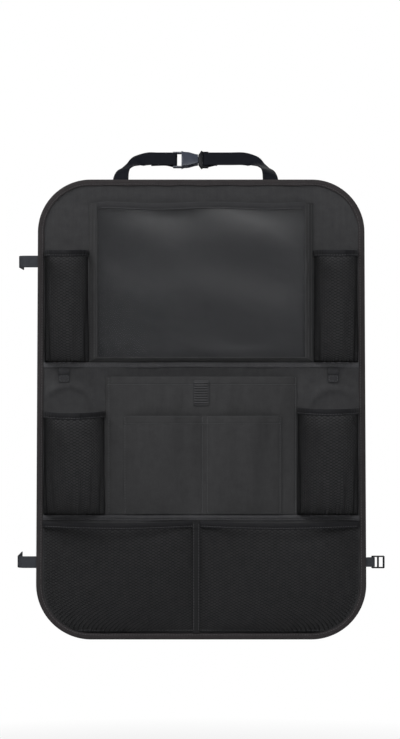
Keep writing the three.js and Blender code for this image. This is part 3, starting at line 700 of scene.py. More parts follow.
def stitches(path: Array, out: Array) -> Shape:
    """Lays lock stitches along a path, each a short round thread that dives in at both ends.

    Args:
        path: the line on the surface, (n, 3).
        out: the direction out of the surface, one or one for each point.

    Returns:
        All stitches in one shape.
    """
    count = max(2, int(lengths_along(path)[-1] / STITCH_PITCH))
    both = np.concatenate([path, np.broadcast_to(out, path.shape)], axis=1)
    line = even_points(both, 2 * count + 1)[1::2]
    ahead = unit(np.gradient(line[:, :3], axis=0))
    side = unit(np.cross(ahead, line[:, 3:]))
    run = np.array([-0.5, -0.32, 0.32, 0.5])[:, None] * STITCH_LENGTH
    lift = np.array([-0.35, 0.35, 0.35, -0.35])[:, None] * THREAD_THICK
    girth = np.array([0.3, 0.5, 0.5, 0.3])[:, None] * THREAD_THICK
    turn = np.linspace(0, 2 * math.pi, 5, endpoint=False)
    parts = np.broadcast_arrays(run, girth * np.cos(turn), lift + girth * np.sin(turn))
    template = np.stack(parts, axis=-1)
    basis = np.stack([ahead, side, unit(np.cross(side, ahead))], axis=1)
    rings = line[:, None, None, :3] + np.einsum("srk,nkc->nsrc", template, basis)
    one = Shape.tube(rings[0], template[..., :2])
    offsets = np.arange(count)[:, None, None] * len(one.points)
    faces = [(face[None] + offsets).reshape(-1, face.shape[1]) for face in one.faces]
    return Shape(rings.reshape(-1, 3), faces, np.tile(one.flat, (count, 1)))


def sew(name: str, rows: Sequence[tuple[Array, Array]], slot: str) -> Piece:
    """Sews rows of stitches, each a path and its direction out, and puts them into Blender as one piece."""
    return place_piece(name, Shape.joined([stitches(path, out) for path, out in rows]), Look(THREAD, slot))


def seam(start: tuple[float, float], end: tuple[float, float], height: Surface) -> Array:
    """Gives points about 6 mm apart on a straight line over a surface in front of the panel.

    Args:
        start: its first place, across and up.
        end: its last place.
        height: the surface's height.

    Returns:
        The points, (n, 3).
    """
    x, z = np.linspace(start, end, max(4, int(math.dist(start, end) / 6))).T
    return on_panel(x, height(x, z), z)


def layer(x: Array, z: Array, back: Array, thick: Array) -> Shape:
    """Lays a sheet over a grid of places, from the height of its back face to that plus its thickness."""
    return Shape.sheet(on_panel(x, back + thick, z), on_panel(x, back, z), np.stack([x, z], axis=-1))


def strip(name: str, x: Array, section: Array, up: Array, out: Array, swell: Array, look: Look) -> Piece:
    """Carries a section straight across the panel.

    Args:
        name: the piece's name.
        x: the stations across.
        section: the places of its points up and out, (n, 2).
        up: the height of the section's origin at each station.
        out: the distance of its origin from the panel's face there.
        swell: how many times as thick it is there.
        look: the piece's look.

    Returns:
        The new object.
    """
    height = out[:, None] + section[:, 1] * swell[:, None]
    flat = np.stack(np.broadcast_arrays(x[:, None], section[:, 0]), axis=-1)
    rings = on_panel(x[:, None], height, up[:, None] + section[:, 0])
    return place_piece(name, Shape.tube(rings, flat), look)


# Panel

Fold = tuple[tuple[tuple[float, float], ...], float, float]


@dataclass
class Panel:
    """The padded panel, the tape folded round its edge and the tapes sewn across it.

    The folds in its cloth are given as places that a fold passes through, its width and its height.
    """

    width: float = 420.0
    top_width: float = 414.0
    height: float = 584.0
    thick: float = 2.5
    top_radius: float = 67.0
    bottom_radius: float = 70.0
    binding: float = 8.0
    binding_thick: float = 1.0
    binding_seam: float = 6.1
    pressed: float = 1.25
    tape_crown: float = 1.5
    folds: tuple[Fold, ...] = (
        (((-203, 17), (-183, 27), (-165, 31), (-149, 25), (-139, 12), (-132, -8)), 4.2, 3.2),
        (((-158, 47), (-138, 46), (-124, 36)), 5.0, 1.4),
        (((132, -4), (144, 16), (160, 26), (180, 25), (203, 15)), 4.6, 2.4),
    )

    def side_at(self, z: Array) -> Array:
        """Gives the half width of the panel at a height, between its straight sides."""
        share = (np.asarray(z) + self.height / 2) / self.height
        return (self.width * (1 - share) + self.top_width * share) / 2

    def half_width(self, z: Array, inset: float) -> Array:
        """Gives the half width inside an inset edge, the rounded corners included.

        Args:
            z: heights.
            inset: how far the outline is drawn in.

        Returns:
            The half width: the straight side, less what the quarter circle of the corner takes.
        """
        half = self.side_at(z) - inset
        past_top = z - (self.height / 2 - self.top_radius)
        past_bottom = -(self.height / 2 - self.bottom_radius) - z
        for past, radius in ((past_top, self.top_radius), (past_bottom, self.bottom_radius)):
            inner = radius - inset
            taken = inner - np.sqrt(np.maximum(inner**2 - np.maximum(past, 0) ** 2, 0))
            half = half - np.where(past > 0, taken, 0)
        return half

    def rows(self, inset: float) -> Array:
        """Spreads rows over the height, by equal angles in the corners.

        Args:
            inset: how far the outline is drawn in.

        Returns:
            The rows' heights, from the bottom up.
        """
        turn = np.linspace(0, math.pi / 2, 26)
        low_centre = -self.height / 2 + self.bottom_radius
        high_centre = self.height / 2 - self.top_radius
        low = low_centre - (self.bottom_radius - inset) * np.sin(turn[::-1])
        high = high_centre + (self.top_radius - inset) * np.sin(turn)
        return np.concatenate([low, np.linspace(low_centre, high_centre, 130)[1:-1], high])

    def relief(self, x: Array, z: Array) -> Array:
        """Gives the unevenness of the panel's face: broad waves, puckers along the binding and folds.

        A fold is a ridge along a smooth curve. Its section is a bell curve, and it fades to both ends.

        Args:
            x: places across.
            z: places up.

        Returns:
            The height above the plain face, mostly below it.
        """
        broad = 0.5 * ripples(x, z, 11, (45, 130), math.pi)
        short = 0.14 * ripples(x, z, 12, (14, 34), math.pi)
        ridges = np.zeros_like(x)
        fade = np.sin(np.linspace(0.04, 0.96, 40) * math.pi) ** 0.5
        for points, width, depth in self.folds:
            line = smooth_path(np.array(points, dtype=float), len(fade))
            gaps = np.hypot(x[..., None] - line[:, 0], z[..., None] - line[:, 1])
            bell = np.exp(-((gaps.min(axis=-1) / width) ** 2))
            ridges = np.maximum(ridges, depth * fade[gaps.argmin(axis=-1)] * bell)
        edge = self.half_width(z, self.binding) - np.abs(x)
        pucker = 0.25 * np.exp(-np.maximum(edge, 0) / 14) * ripples(z, x, 13, (9, 17), 0.5)
        return np.minimum(broad + short + pucker - 0.3, 0.25) + ridges * smooth((edge - 1) / 7)

    def from_edge(self, x: Array, z: Array) -> Array:
        """Gives the distance in from the outline, round its corners too.

        Args:
            x: places across.
            z: places up.

        Returns:
            The distance to the nearer side, or inside a corner's square to its circle.
        """
        across, up = self.side_at(z) - np.abs(x), self.height / 2 - np.abs(z)
        radius = np.where(z > 0, self.top_radius, self.bottom_radius)
        in_corner = (across < radius) & (up < radius)
        return np.where(in_corner, radius - np.hypot(radius - across, radius - up), np.minimum(across, up))

    def build_cloth(self) -> Piece:
        """Builds the padded panel as one sheet with a flat back, pressed thinner under the binding.

        Returns:
            The new object.
        """
        inset = self.binding_thick + SEAM
        rows = self.rows(inset)
        even = np.linspace(-1, 1, 150)
        x = self.half_width(rows, inset)[:, None] * (np.sin(even * math.pi / 2) * 0.35 + even * 0.65)
        z = np.broadcast_to(rows[:, None], x.shape)
        back = self.pressed * (1 - smooth((self.from_edge(x, z) - self.binding - 0.5) / 4))
        front = np.maximum(self.thick + self.relief(x, z), back + 0.8)
        shape = Shape.sheet(np.stack([x, -front, z], axis=-1), np.stack([x, -back, z], axis=-1),
                            np.stack([x, z], axis=-1))
        return place_piece("panel_cloth", shape, Look(OXFORD, "oxford_cloth", "main_panel"))

    def edge_stations(self) -> tuple[Array, Array]:
        """Walks round the panel's outline.

        Returns:
            Points on the outline and the directions straight in from it, both (n, 2) in x and z.
        """
        low, high = -self.height / 2, self.height / 2
        bottom, top = self.width / 2, self.top_width / 2
        corners = np.array([[-bottom, low], [bottom, low], [top, high], [-top, high]])
        radii = [self.bottom_radius, self.bottom_radius, self.top_radius, self.top_radius]
        arcs, inward = [], []
        for n, (corner, radius) in enumerate(zip(corners, radii)):
            before = unit(corners[n - 1] - corner)
            after = unit(corners[(n + 1) % 4] - corner)
            half_angle = math.acos(float(before @ after)) / 2
            centre = corner + unit(before + after) * radius / math.sin(half_angle)
            start = unit(corner + before * radius / math.tan(half_angle) - centre)
            end = unit(corner + after * radius / math.tan(half_angle) - centre)
            share = np.linspace(0, 1, 40)[:, None]
            turn = math.acos(float(np.clip(start @ end, -1, 1)))
            spoke = (np.sin((1 - share) * turn) * start + np.sin(share * turn) * end) / math.sin(turn)
            arcs.append(centre + radius * spoke)
            inward.append(-spoke)
        points, ins = [], []
        share = np.linspace(0, 1, 70)[1:-1, None]
        for n in range(4):
            after = (n + 1) % 4
            points += [arcs[n], arcs[n][-1] * (1 - share) + arcs[after][0] * share]
            ins += [inward[n], unit(inward[n][-1] * (1 - share) + inward[after][0] * share)]
        return np.concatenate(points), np.concatenate(ins)

    def build_binding(self) -> list[Piece]:
        """Folds the tape round the edge: a soft U that is carried round the outline.

        The tape's front lip is 8 mm wide. It puckers by a few tenths of a millimetre, more on the corners.

        Returns:
            The tape and its stitches.
        """
        points, inward = self.edge_stations()
        front = PANEL_FRONT + self.binding_thick
        section = np.array([
            [8.0, PANEL_FRONT - 0.1], [8.12, 3.2], [7.9, 3.6], [7.2, 3.78], [5.6, front + 0.08],
            [3.6, front + 0.1], [1.9, front - 0.1], [0.8, 3.1], [0.15, 2.4], [0.0, 1.7], [0.1, 1.0],
            [0.5, 0.35], [1.4, 0.05], [4.0, 0.0], [6.6, 0.0], [7.7, 0.12], [8.1, 0.5], [8.0, 1.1],
            [6.0, 1.15], [1.4, 1.15], [1.1, 1.6], [1.4, 2.5], [4.5, PANEL_FRONT - 0.1],
        ])
        run = lengths_along(np.concatenate([points, points[:1]]))[:-1]
        turning = np.linalg.norm(np.roll(inward, -1, axis=0) - np.roll(inward, 1, axis=0), axis=1)
        pucker = (0.1 + 0.22 * turning / turning.max()) * ripples(run, run * 0, 21, (6, 11), 0.0)
        lip = 0.35 * ripples(run, run * 0, 22, (30, 70), 0.0)
        reach = section[:, 0] + lip[:, None] * (section[:, 0] / self.binding) ** 2
        depth = section[:, 1] + pucker[:, None] * np.clip(section[:, 1] - 2.9, 0, 1)
        x, z = np.moveaxis(points[:, None] + inward[:, None] * reach[..., None], -1, 0)
        flat = np.stack(np.broadcast_arrays(lengths_along(section), run[:, None]), axis=-1)
        shape = Shape.tube(np.stack([x, -depth, z], axis=-1), flat, closed=True)
        tape = place_piece("edge_binding_tape", shape, Look(BINDING, "binding_tape", "edge_binding"))
        x, z = (points + inward * self.binding_seam).T
        line = np.stack([x, np.full_like(x, -front - 0.02), z], axis=1)
        return [tape, sew("edge_binding_stitches", [(line, OUT)], "binding_tape")]

    def build_tape(self, node: str, finish: Finish, groove: float) -> list[Piece]:
        """Sews a tape across the panel: a low arch in section, pressed in along its stitching.

        Args:
            node: the CAD node that it stands for.
            finish: its finish.
            groove: the place of its stitch line, as a share of its height.

        Returns:
            The tape and its stitches.
        """
        low, high = node_box(node)
        width = high[2] - low[2]
        around = np.linspace(0, 1, 25)
        crown = np.sin(around * math.pi) ** 0.6
        dip = sunk((around - groove) * width) * (crown > 0.5)
        top = np.stack([around * width, self.tape_crown * crown - dip], axis=1)
        section = np.concatenate([top, [[width * 0.66, -0.2], [width * 0.33, -0.2]]])
        x = np.linspace(low[0], high[0], 130)
        wander = 0.28 * ripples(x, x * 0, 31, (60, 150), 0.0)
        ruck = 0.1 * ripples(x, x * 0, 32, (8, 18), 0.0)
        look = Look(finish, "woven_tape", node)
        tape = strip(f"{node}_cloth", x, section, low[2] + wander, x * 0, 1 + ruck, look)
        lift = self.tape_crown * math.sin(groove * math.pi) ** 0.6 - 0.5
        line = on_panel(x, lift, low[2] + groove * width + wander)
        return [tape, sew(f"{node}_stitches", [(line[2:-2], OUT)], "woven_tape")]

    def build(self) -> None:
        """Builds the panel, its binding and both tapes."""
        trims = [*self.build_binding(), *self.build_tape("cross_tape", WOVEN_TAPE, 0.5),
                 *self.build_tape("hem_tape", PALE_TAPE, 0.24)]
        self.build_cloth()


# Window pocket


@dataclass
class WindowPocket:
    """The pocket with the clear window: a cloth frame, the film and the hem over its top edge."""

    depth: float = 10.0
    side_strip: float = 11.3
    side_cut: float = 16.0
    foot_strip: float = 6.0
    seams: tuple[float, float] = (2.7, 7.1)
    film_height: float = 9.35
    film_thick: float = 0.4
    film_under: float = 1.4
    hem_height: float = 8.2

    def build_frame(self) -> None:
        """Builds the cloth frame: two sides and a foot that rise by a quarter sine from panel to film."""
        low, high = node_box("tablet_frame")
        left, right, foot, top = low[0], high[0], low[2], high[2]
        outer = np.array([[left, top], [left, foot], [right, foot], [right, top]])
        side, end = self.side_strip, self.foot_strip
        inner = outer + [[side, 0], [side, end], [-side, end], [-side, 0]]
        counts = (60, 84, 60)
        spread = [start + np.linspace(0, 1, count, endpoint=False) for start, count in enumerate(counts)]
        station = np.concatenate([*spread, [3.0]])
        paths = [np.stack([np.interp(station, range(4), line[:, k]) for k in (0, 1)], axis=1)
                 for line in (outer, inner)]
        share = with_rows(edge_lines(0.0, side, 12, 0.8), self.seams) / side
        place = paths[0][:, None] * (1 - share[:, None]) + paths[1][:, None] * share[:, None]
        wave = 0.5 * ripples(place[..., 0], place[..., 1], 41, (18, 60), math.pi) * np.sin(share * math.pi)
        height = self.depth * np.sin(share * math.pi / 2) + wave
        body = rounded_thickness(np.minimum(share, 1 - share) * side, CLOTH)
        grooves = sum(sunk(share * side - seam_at) for seam_at in self.seams)
        shape = layer(place[..., 0], place[..., 1], height, body * (1 - grooves / CLOTH))
        piece = place_piece("tablet_frame_cloth", shape, Look(POCKET_OXFORD, "oxford_cloth", "tablet_frame"))
        rows = []
        for seam_at in self.seams:
            lift = self.depth * math.sin(seam_at / side * math.pi / 2) + CLOTH - SEWN_IN
            for x in (left + seam_at, right - seam_at):
                rows.append((seam((x, foot + 6), (x, top - 2), lambda x, z: lift + x * 0), OUT))
        trims = [sew("tablet_frame_stitches", rows, "oxford_cloth")]

    def build_film(self, hem: Sequence[Piece]) -> None:
        """Builds the clear film as a thin sheet with shallow waves.

        Args:
            hem: the pieces that are sewn to it; not used.
        """
        low, high = node_box("tablet_window")
        x, z = np.meshgrid(np.linspace(low[0] - self.film_under, high[0] + self.film_under, 70),
                           np.linspace(low[2] - self.film_under, high[2], 50))
        middle = np.sin((x - x.min()) / np.ptp(x) * math.pi) * np.sin((z - z.min()) / np.ptp(z) * math.pi)
        wave = 0.55 * ripples(x, z, 43, (60, 160), math.pi) * np.minimum(middle * 4, 1)
        height = self.film_height + 0.9 * middle + wave
        film = place_piece("window_film", layer(x, z, height, self.film_thick),
                           Look(FILM, "clear_film", "tablet_window"))

    def build_hem(self) -> list[Piece]:
        """Folds the hem over the film's top edge, and lets it waver by about a millimetre.

        Returns:
            The hem and its stitches.
        """
        low, high = node_box("tablet_hem")
        x = np.linspace(low[0], high[0], 120)
        tall = high[2] - low[2]
        section = np.array([
            [0.6, 1.9], [1.0, 1.15], [3.0, 0.85], [tall * 0.5, 0.7], [tall - 1.6, 0.8], [tall - 0.4, 1.2],
            [tall, 2.0], [tall - 0.4, 2.7], [tall - 1.6, 3.1], [tall * 0.5, 3.3], [3.6, 3.1], [2.6, 2.75],
            [2.0, 2.65], [1.5, 2.8], [0.9, 2.7],
        ])
        pinch = np.clip((np.minimum(x - x[0], x[-1] - x)) / 12, 0, 1)
        wander = 0.9 * ripples(x, x * 0, 45, (70, 170), 0.0) * pinch
        sway = 0.9 * ripples(x, x * 0, 46, (60, 140), 0.0) * pinch
        up, out = low[2] + wander, self.hem_height + sway
        look = Look(WINDOW_HEM, "binding_tape", "tablet_hem")
        hem = strip("window_hem", x, section, up, out, np.ones_like(x), look)
        line = on_panel(x, out + 2.7, up + 2.0)[2:-2]
        return [hem, sew("window_hem_stitches", [(line, OUT)], "binding_tape")]

    def build(self) -> None:
        """Builds the frame, the film and its hem."""
        self.build_frame()
        self.build_film(self.build_hem())


# Netting


@dataclass(frozen=True)
class Netting:
    """Warp knitted net: a honeycomb of cells that are wider than they are high.

    Args:
        pitch: the width from one cell to the next in the same row.
        rise: the height of a cell.
        knot: the half length of the knot where two cells lie over each other.
        open_x: the share of a cell's width that is open.
        open_z: the share of a cell's height that is open.
        yarn: the thickness of the net.
        crest: the height of a strand's middle, as a share of the yarn.
        rim: the height of a hole's edge, as a share of the yarn.
    """

    pitch: float = 7.4
    rise: float = 3.9
    knot: float = 1.0
    open_x: float = 0.93
    open_z: float = 0.78
    yarn: float = 0.7
    crest: float = 0.5
    rim: float = 0.2

    def lay(self, columns: int, rows: int, wall: Surface) -> Shape:
        """Lays the net on a wall.

        A cell is a hexagon: two corners at the ends of its row, and the two ends of the knot above and of
        the knot below. The yarn is the strip between the hexagon and a smaller one inside it.

        Args:
            columns: how many cells there are across.
            rows: how many there are down.
            wall: gives the points of the wall for shares across and down.

        Returns:
            The closed net.
        """
        a, b = np.meshgrid(np.arange(1, 2 * columns), np.arange(1, 2 * rows), indexing="ij")
        odd = (a + b) % 2 == 1
        centres = np.stack([a[odd], b[odd]], axis=1).astype(float)
        knot = self.knot / (self.pitch / 2)
        hexagon = np.array([[1 - knot, 0], [knot, 1], [-knot, 1], [knot - 1, 0], [-knot, -1], [knot, -1]])
        outer = (centres[:, None] + hexagon).reshape(-1, 2)
        _, first, shared = np.unique(np.round(outer * 1000).astype(np.int64), axis=0, return_index=True,
                                     return_inverse=True)
        shared = shared.reshape(-1, 6)
        inner = (centres[:, None] + hexagon * [self.open_x, self.open_z]).reshape(-1, 2)
        inside = len(first) + np.arange(len(inner)).reshape(-1, 6)
        grid = np.concatenate([outer[first], inner])
        crest = np.concatenate([np.full(len(first), self.crest), np.full(len(inner), self.rim)]) * self.yarn
        quads = np.stack([shared, np.roll(shared, -1, axis=1), np.roll(inside, -1, axis=1), inside],
                         axis=-1).reshape(-1, 4)
        across, down = grid[:, 0] / (2 * columns), grid[:, 1] / (2 * rows)
        step = 0.25 / columns
        place = wall(across, down)
        along_x = wall(across + step, down) - wall(across - step, down)
        along_z = wall(across, down + step) - wall(across, down - step)
        out = unit(np.cross(along_x, along_z))
        out = np.where(out[:, 1:2] > 0, -out, out)
        count = len(place)
        points = np.concatenate([place + out * crest[:, None], place - out * crest[:, None]])
        edges = np.concatenate([np.stack([quads[:, k], quads[:, (k + 1) % 4]], axis=1) for k in range(4)])
        lone = ~np.isin(edges[:, 0] * count + edges[:, 1], edges[:, 1] * count + edges[:, 0])
        rim = edges[lone]
        walls = np.stack([rim[:, 1], rim[:, 0], rim[:, 0] + count, rim[:, 1] + count], axis=1)
        faces = np.concatenate([quads, quads[:, ::-1] + count, walls])
        flat = np.concatenate([grid * [self.pitch / 2, self.rise / 2]] * 2)
        return Shape(points, [faces], flat).turned_out()

    def cover(self) -> float:
        """Gives the yarn's surface on one side as a share of the net's, with half of the holes' walls.

        Returns:
            The share.
        """
        half, knot = self.pitch / 2, self.knot
        tall, cell = self.rise / 2 * self.open_z, self.pitch * self.rise / 2
        hole = 2 * tall * half * self.open_x
        slant = math.hypot((half - 2 * knot) * self.open_x, tall)
        wall = (4 * knot * self.open_x + 4 * slant) * 2 * self.rim * self.yarn
        return 1 - (hole - wall / 2) / cell


NET = Netting()
# The share of the band's height that hides net, where the band is sewn, and how far it is gathered.
TURNED_IN, SEWN_OUT, SEWN_UP, RUCK = 0.6, 0.85, 1.9, 0.16


@dataclass
class NetPocket:
    """What all net pockets share: a net that hangs from an elastic band, folded over its top edge.

    Their counts are how many points measure the net, measure the band and make the band.

    Args:
        name: the start of its CAD nodes' names.
        seed: the seed of the unevenness.
    """

    name: str
    seed: int

    def __post_init__(self) -> None:
        """Reads the pocket's place from the CAD's nodes."""
        low, high = node_box(f"{self.name}_net")
        band_low, band_high = node_box(f"{self.name}_band")
        self.left, self.right, self.bottom = low[0], high[0], low[2]
        self.mouth, self.top = band_low[2], band_high[2]
        self.depth = -PANEL_FRONT - low[1]

    def wall(self, share: Array, down: Array) -> Array:
        """Gives the net for shares across and down, from its mouth to its foot."""
        raise NotImplementedError

    def build_net(self, at: float, trims: Sequence[Piece]) -> None:
        """Builds the netting, with its cells spread evenly across and down, the part in the band included.

        Args:
            at: the share across at which the length down is measured.
            trims: the pieces that are sewn to it; not used.
        """
        even = np.linspace(0, 1, self.counts[0])
        level, upright = self.wall(even, even * 0 + 0.3), self.wall(even * 0 + at, even)
        across, fall = even_shares(level), even_shares(upright)
        wide, tall = lengths_along(level)[-1], lengths_along(upright)[-1]
        hidden = (self.top - self.mouth) * TURNED_IN

        def even_wall(share: Array, down: Array) -> Array:
            """Gives the net with its shares taken along its lengths.

            Args:
                share: the share of its width.
                down: the share of its height, from the top of what the band hides.

            Returns:
                The points of the net.
            """
            run = down * (tall + hidden) - hidden
            deep = np.where(run < 0, run / (self.mouth - self.bottom), fall(np.maximum(run, 0) / tall))
            return self.wall(across(share), deep)

        columns, rows = round(wide / NET.pitch), round((tall + hidden) / NET.rise)
        look = Look(NET_YARN, "netting", f"{self.name}_net", crease=80.0)
        net = place_piece(f"{self.name}_netting", NET.lay(columns, rows, even_wall), look)
        NET.cover()

    def build_band(self, seed: int, longest: float,
                   more_rows: Sequence[tuple[Array, Array]] = ()) -> list[Piece]:
        """Folds the elastic band over the net's top edge, with the small gathers that it pulls in.

        The band's section, its places out from the net and up, is carried along the edge.

        Args:
            seed: the seed of the gathers.
            longest: the length of the longest gather.
            more_rows: other rows of stitches in the net.

        Returns:
            The band and the stitches.
        """
        even = np.linspace(0, 1, self.counts[1])
        share = even_shares(self.wall(even, even * 0))(np.linspace(0, 1, self.counts[2]))
        path = self.wall(share, share * 0)
        out = unit(np.cross(unit(np.gradient(path * [1, 1, 0], axis=0)), UP))
        out = np.where(out[:, 1:2] > 0, -out, out)
        tall, run = self.top - self.mouth, lengths_along(path)
        ruck = RUCK * ripples(run, run * 0, seed, (5, longest), 0.0)[:, None]
        section = np.array([
            [-1.2, 0.6], [-0.9, 0.0], [-0.2, -0.15], [0.6, 0.0], [1.1, 0.5], [1.15, 1.0], [0.85, 1.5],
            [0.75, 1.9], [0.9, 2.4], [1.3, 3.2], [1.5, tall * 0.6], [1.4, tall - 1.2], [1.0, tall - 0.4],
            [0.3, tall], [-0.5, tall], [-1.1, tall - 0.6], [-1.3, tall * 0.5],
        ])
        rings = path[:, None] + out[:, None] * (section[:, :1] + ruck[:, None]) + UP * section[:, 1:]
        flat = np.stack(np.broadcast_arrays(run[:, None], section[:, 1]), axis=-1)
        look = Look(ELASTIC, "elastic_band", f"{self.name}_band")
        band = place_piece(f"{self.name}_elastic", Shape.tube(rings, flat), look)
        line = path + out * (SEWN_OUT + ruck) + UP * SEWN_UP
        rows = [(line[3:-3], out[3:-3]), *more_rows]
        return [band, sew(f"{self.name}_stitches", rows, "elastic_band")]


@dataclass
class ArchedPocket(NetPocket):
    """A net pocket that arches out from the panel.

    Args:
        pinch: the share of its width that the foot loses.
        gathers: how many gathers its foot has.
        droop: how far the middle of its mouth hangs down.
    """

    pinch: float
    gathers: int
    droop: float
    counts: tuple[int, int, int] = (160, 120, 130)

    def wall(self, share: Array, down: Array) -> Array:
        """Gives the net for shares round the arch and down.

        Across, the wall is half an ellipse: the cosine of the angle times the half width, and the sine
        times the depth. Down, the depth falls by the cube root of one less the cube of the share, and the
        width narrows by the pinch times the squares of the share and the sine.

        Args:
            share: from 0 at the left edge to 1 at the right one.
            down: from 0 at the mouth to 1 at the foot.

        Returns:
            The points of the wall.
        """
        angle, low = share * math.pi, np.clip(down, 0, 1)
        middle, half = (self.left + self.right) / 2, (self.right - self.left) / 2
        narrow = 1 - self.pinch * low**2 * np.sin(angle) ** 2
        gather = 2.2 * smooth((low - 0.3) / 0.6) * np.sin(angle * self.gathers * 2 + self.seed)
        slack = 0.8 * ripples(angle * half, low * 130, self.seed, (12, 40), 0.7)
        sag = self.droop * np.sin(angle) ** 2 * (1 - low)
        x = middle - half * np.cos(angle) * narrow + 0.5 * gather
        height = (self.depth + gather + slack) * np.sin(angle) * np.cbrt(1 - low**3)
        return on_panel(x, np.maximum(height, 0.3), self.mouth - down * (self.mouth - self.bottom) - sag)

    def build(self) -> None:
        """Builds the net and its band."""
        self.build_net(1 / 2.6, self.build_band(self.seed + 3, 10))


@dataclass
class BottomPockets(NetPocket):
    """The two net pockets along the bottom: one net, its elastic band and the tape between the pockets."""

    panel: Panel
    bulge: float = 24.0
    divider: float = -6.3
    tape: float = 9.5
    tape_thick: float = 1.1
    tape_sewn: float = 1.5
    over_band: float = 3.1
    margin: float = 8.6
    foot_sewn: float = 3.6
    counts: tuple[int, int, int] = (300, 320, 340)

    def wall(self, share: Array, down: Array) -> Array:
        """Gives the net for shares across the whole panel and down it.

        Each bay bulges by a half sine across and a quarter cosine down, and hangs in soft upright folds.

        Args:
            share: from 0 at the left edge to 1 at the right one.
            down: from 0 at the mouth to 1 at the foot.

        Returns:
            The points of the net.
        """
        low = np.clip(down, 0, 1)
        z = self.mouth - down * (self.mouth - self.bottom)
        half = self.panel.half_width(z, self.margin)
        x = half * (2 * np.clip(share, 0, 1) - 1)
        left_edge, right_edge = self.divider - self.tape / 2, self.divider + self.tape / 2
        in_left = np.clip((x + half) / (left_edge + half), 0, 1)
        in_right = np.clip((x - right_edge) / (half - right_edge), 0, 1)
        bay = np.sin(np.where(x < self.divider, in_left, in_right) * math.pi)
        bulge = self.bulge * bay * np.cos(low * math.pi / 2)
        folds = 1.8 * ripples(x, z * 0.5, self.seed, (22, 70), 0.5) * np.sqrt(bay) * (0.35 + low) * (1 - low)
        height = bulge + folds + 1.6 - low
        return on_panel(x, np.maximum(height, 0.5), z - bay * (1 - low))

    def build_divider(self) -> list[Piece]:
        """Lays the tape between the pockets over the band and down the net.

        Returns:
            The tape and its stitches.
        """
        low, high = node_box("divider_tape")
        width = high[0] - low[0]
        z = np.linspace(low[2], high[2], 90)
        over_net = 1.9 - 0.6 * (self.mouth - z) / (self.mouth - self.bottom)
        height = over_net + (self.over_band - over_net) * smooth((z - self.mouth + 4) / 4)
        path = on_panel((low[0] + high[0]) / 2, height + 0.5, z)
        tape = place_piece("divider_tape_cloth", ribbon(path, RIGHT, width, self.tape_thick),
                           Look(DIVIDER_TAPE, "woven_tape", "divider_tape"))
        side = width / 2 - self.tape_sewn
        rows = [((path + [x, -0.58, 0.0])[2:-2], OUT) for x in (-side, side)]
        return [tape, sew("divider_stitches", rows, "woven_tape")]

    def build(self) -> None:
        """Builds the net, the band, the hem along its foot and the tape."""
        foot = self.bottom + self.foot_sewn
        half = float(self.panel.half_width(np.array(foot), self.margin)) - 4
        hem = seam((-half, foot), (half, foot), lambda x, z: x * 0 + 1.1)
        self.build_net(0.25, [*self.build_band(66, 11, [(hem, OUT)]), *self.build_divider()])


# Document pockets


@dataclass
class ClothPocket:
    """A cloth pocket with a stitched hem at its mouth.

    Args:
        node: its CAD node.
        place: the height of its back face in front of the panel.
        rows: the places of its upright rows of stitches.
        grid: how many even grid lines it has across and up.
        ease: how much wider and longer it was cut than it looks from the front; not used.
    """

    node: str
    place: Surface
    rows: tuple[float, ...]
    grid: tuple[int, int]
    ease: tuple[float, float]
    hem: float = 11.0

    def __post_init__(self) -> None:
        """Reads the pocket's place from the CAD's node."""
        low, high = node_box(self.node)
        self.left, self.right, self.bottom, self.top = low[0], high[0], low[2], high[2]
        self.level = self.top - self.hem + 1

    def back(self, x: Array, z: Array) -> Array:
        """Gives the back face's height, pushed out by the cloth turned in under the mouth's stitching."""
        return self.place(x, z) + 0.4 * smooth((z - (self.top - self.hem)) / 1.2)

    def stitch_rows(self) -> list[tuple[Array, Array]]:
        """Lays out the upright rows of stitches and the level one along the hem.

        Returns:
            The path of each row and its direction out.
        """
        lines = [((x, self.bottom + 2), (x, self.top - 1), SEWN_IN) for x in self.rows]
        lines.append(((self.left + 2, self.level), (self.right - 2, self.level), 0.3))
        return [(seam(start, end, self.back) + OUT * (CLOTH - deep), OUT) for start, end, deep in lines]

    def build(self, rests_on: str, trims: Sequence[Piece] = ()) -> None:
        """Builds the cloth over its back face, with rounded edges and a groove along each row of stitches.

        Args:
            rests_on: the piece that it is sewn to; not used.
            trims: the pieces that are sewn to it; not used.
        """
        x, z = np.meshgrid(with_rows(edge_lines(self.left, self.right, self.grid[0], CLOTH), self.rows),
                           with_rows(edge_lines(self.bottom, self.top, self.grid[1], CLOTH), (self.level,)))
        gap_x = np.minimum(x - self.left, self.right - x)
        gap_z = np.minimum(z - self.bottom, self.top - z)
        body = rounded_thickness(np.minimum(gap_x, gap_z), CLOTH)
        groove = np.maximum(sum(sunk(x - row) for row in self.rows), sunk(z - self.level, 0.4))
        shape = layer(x, z, self.back(x, z), body * (1 - groove / CLOTH))
        piece = place_piece(f"{self.node}_cloth", shape, Look(POCKET_OXFORD, "oxford_cloth", self.node))


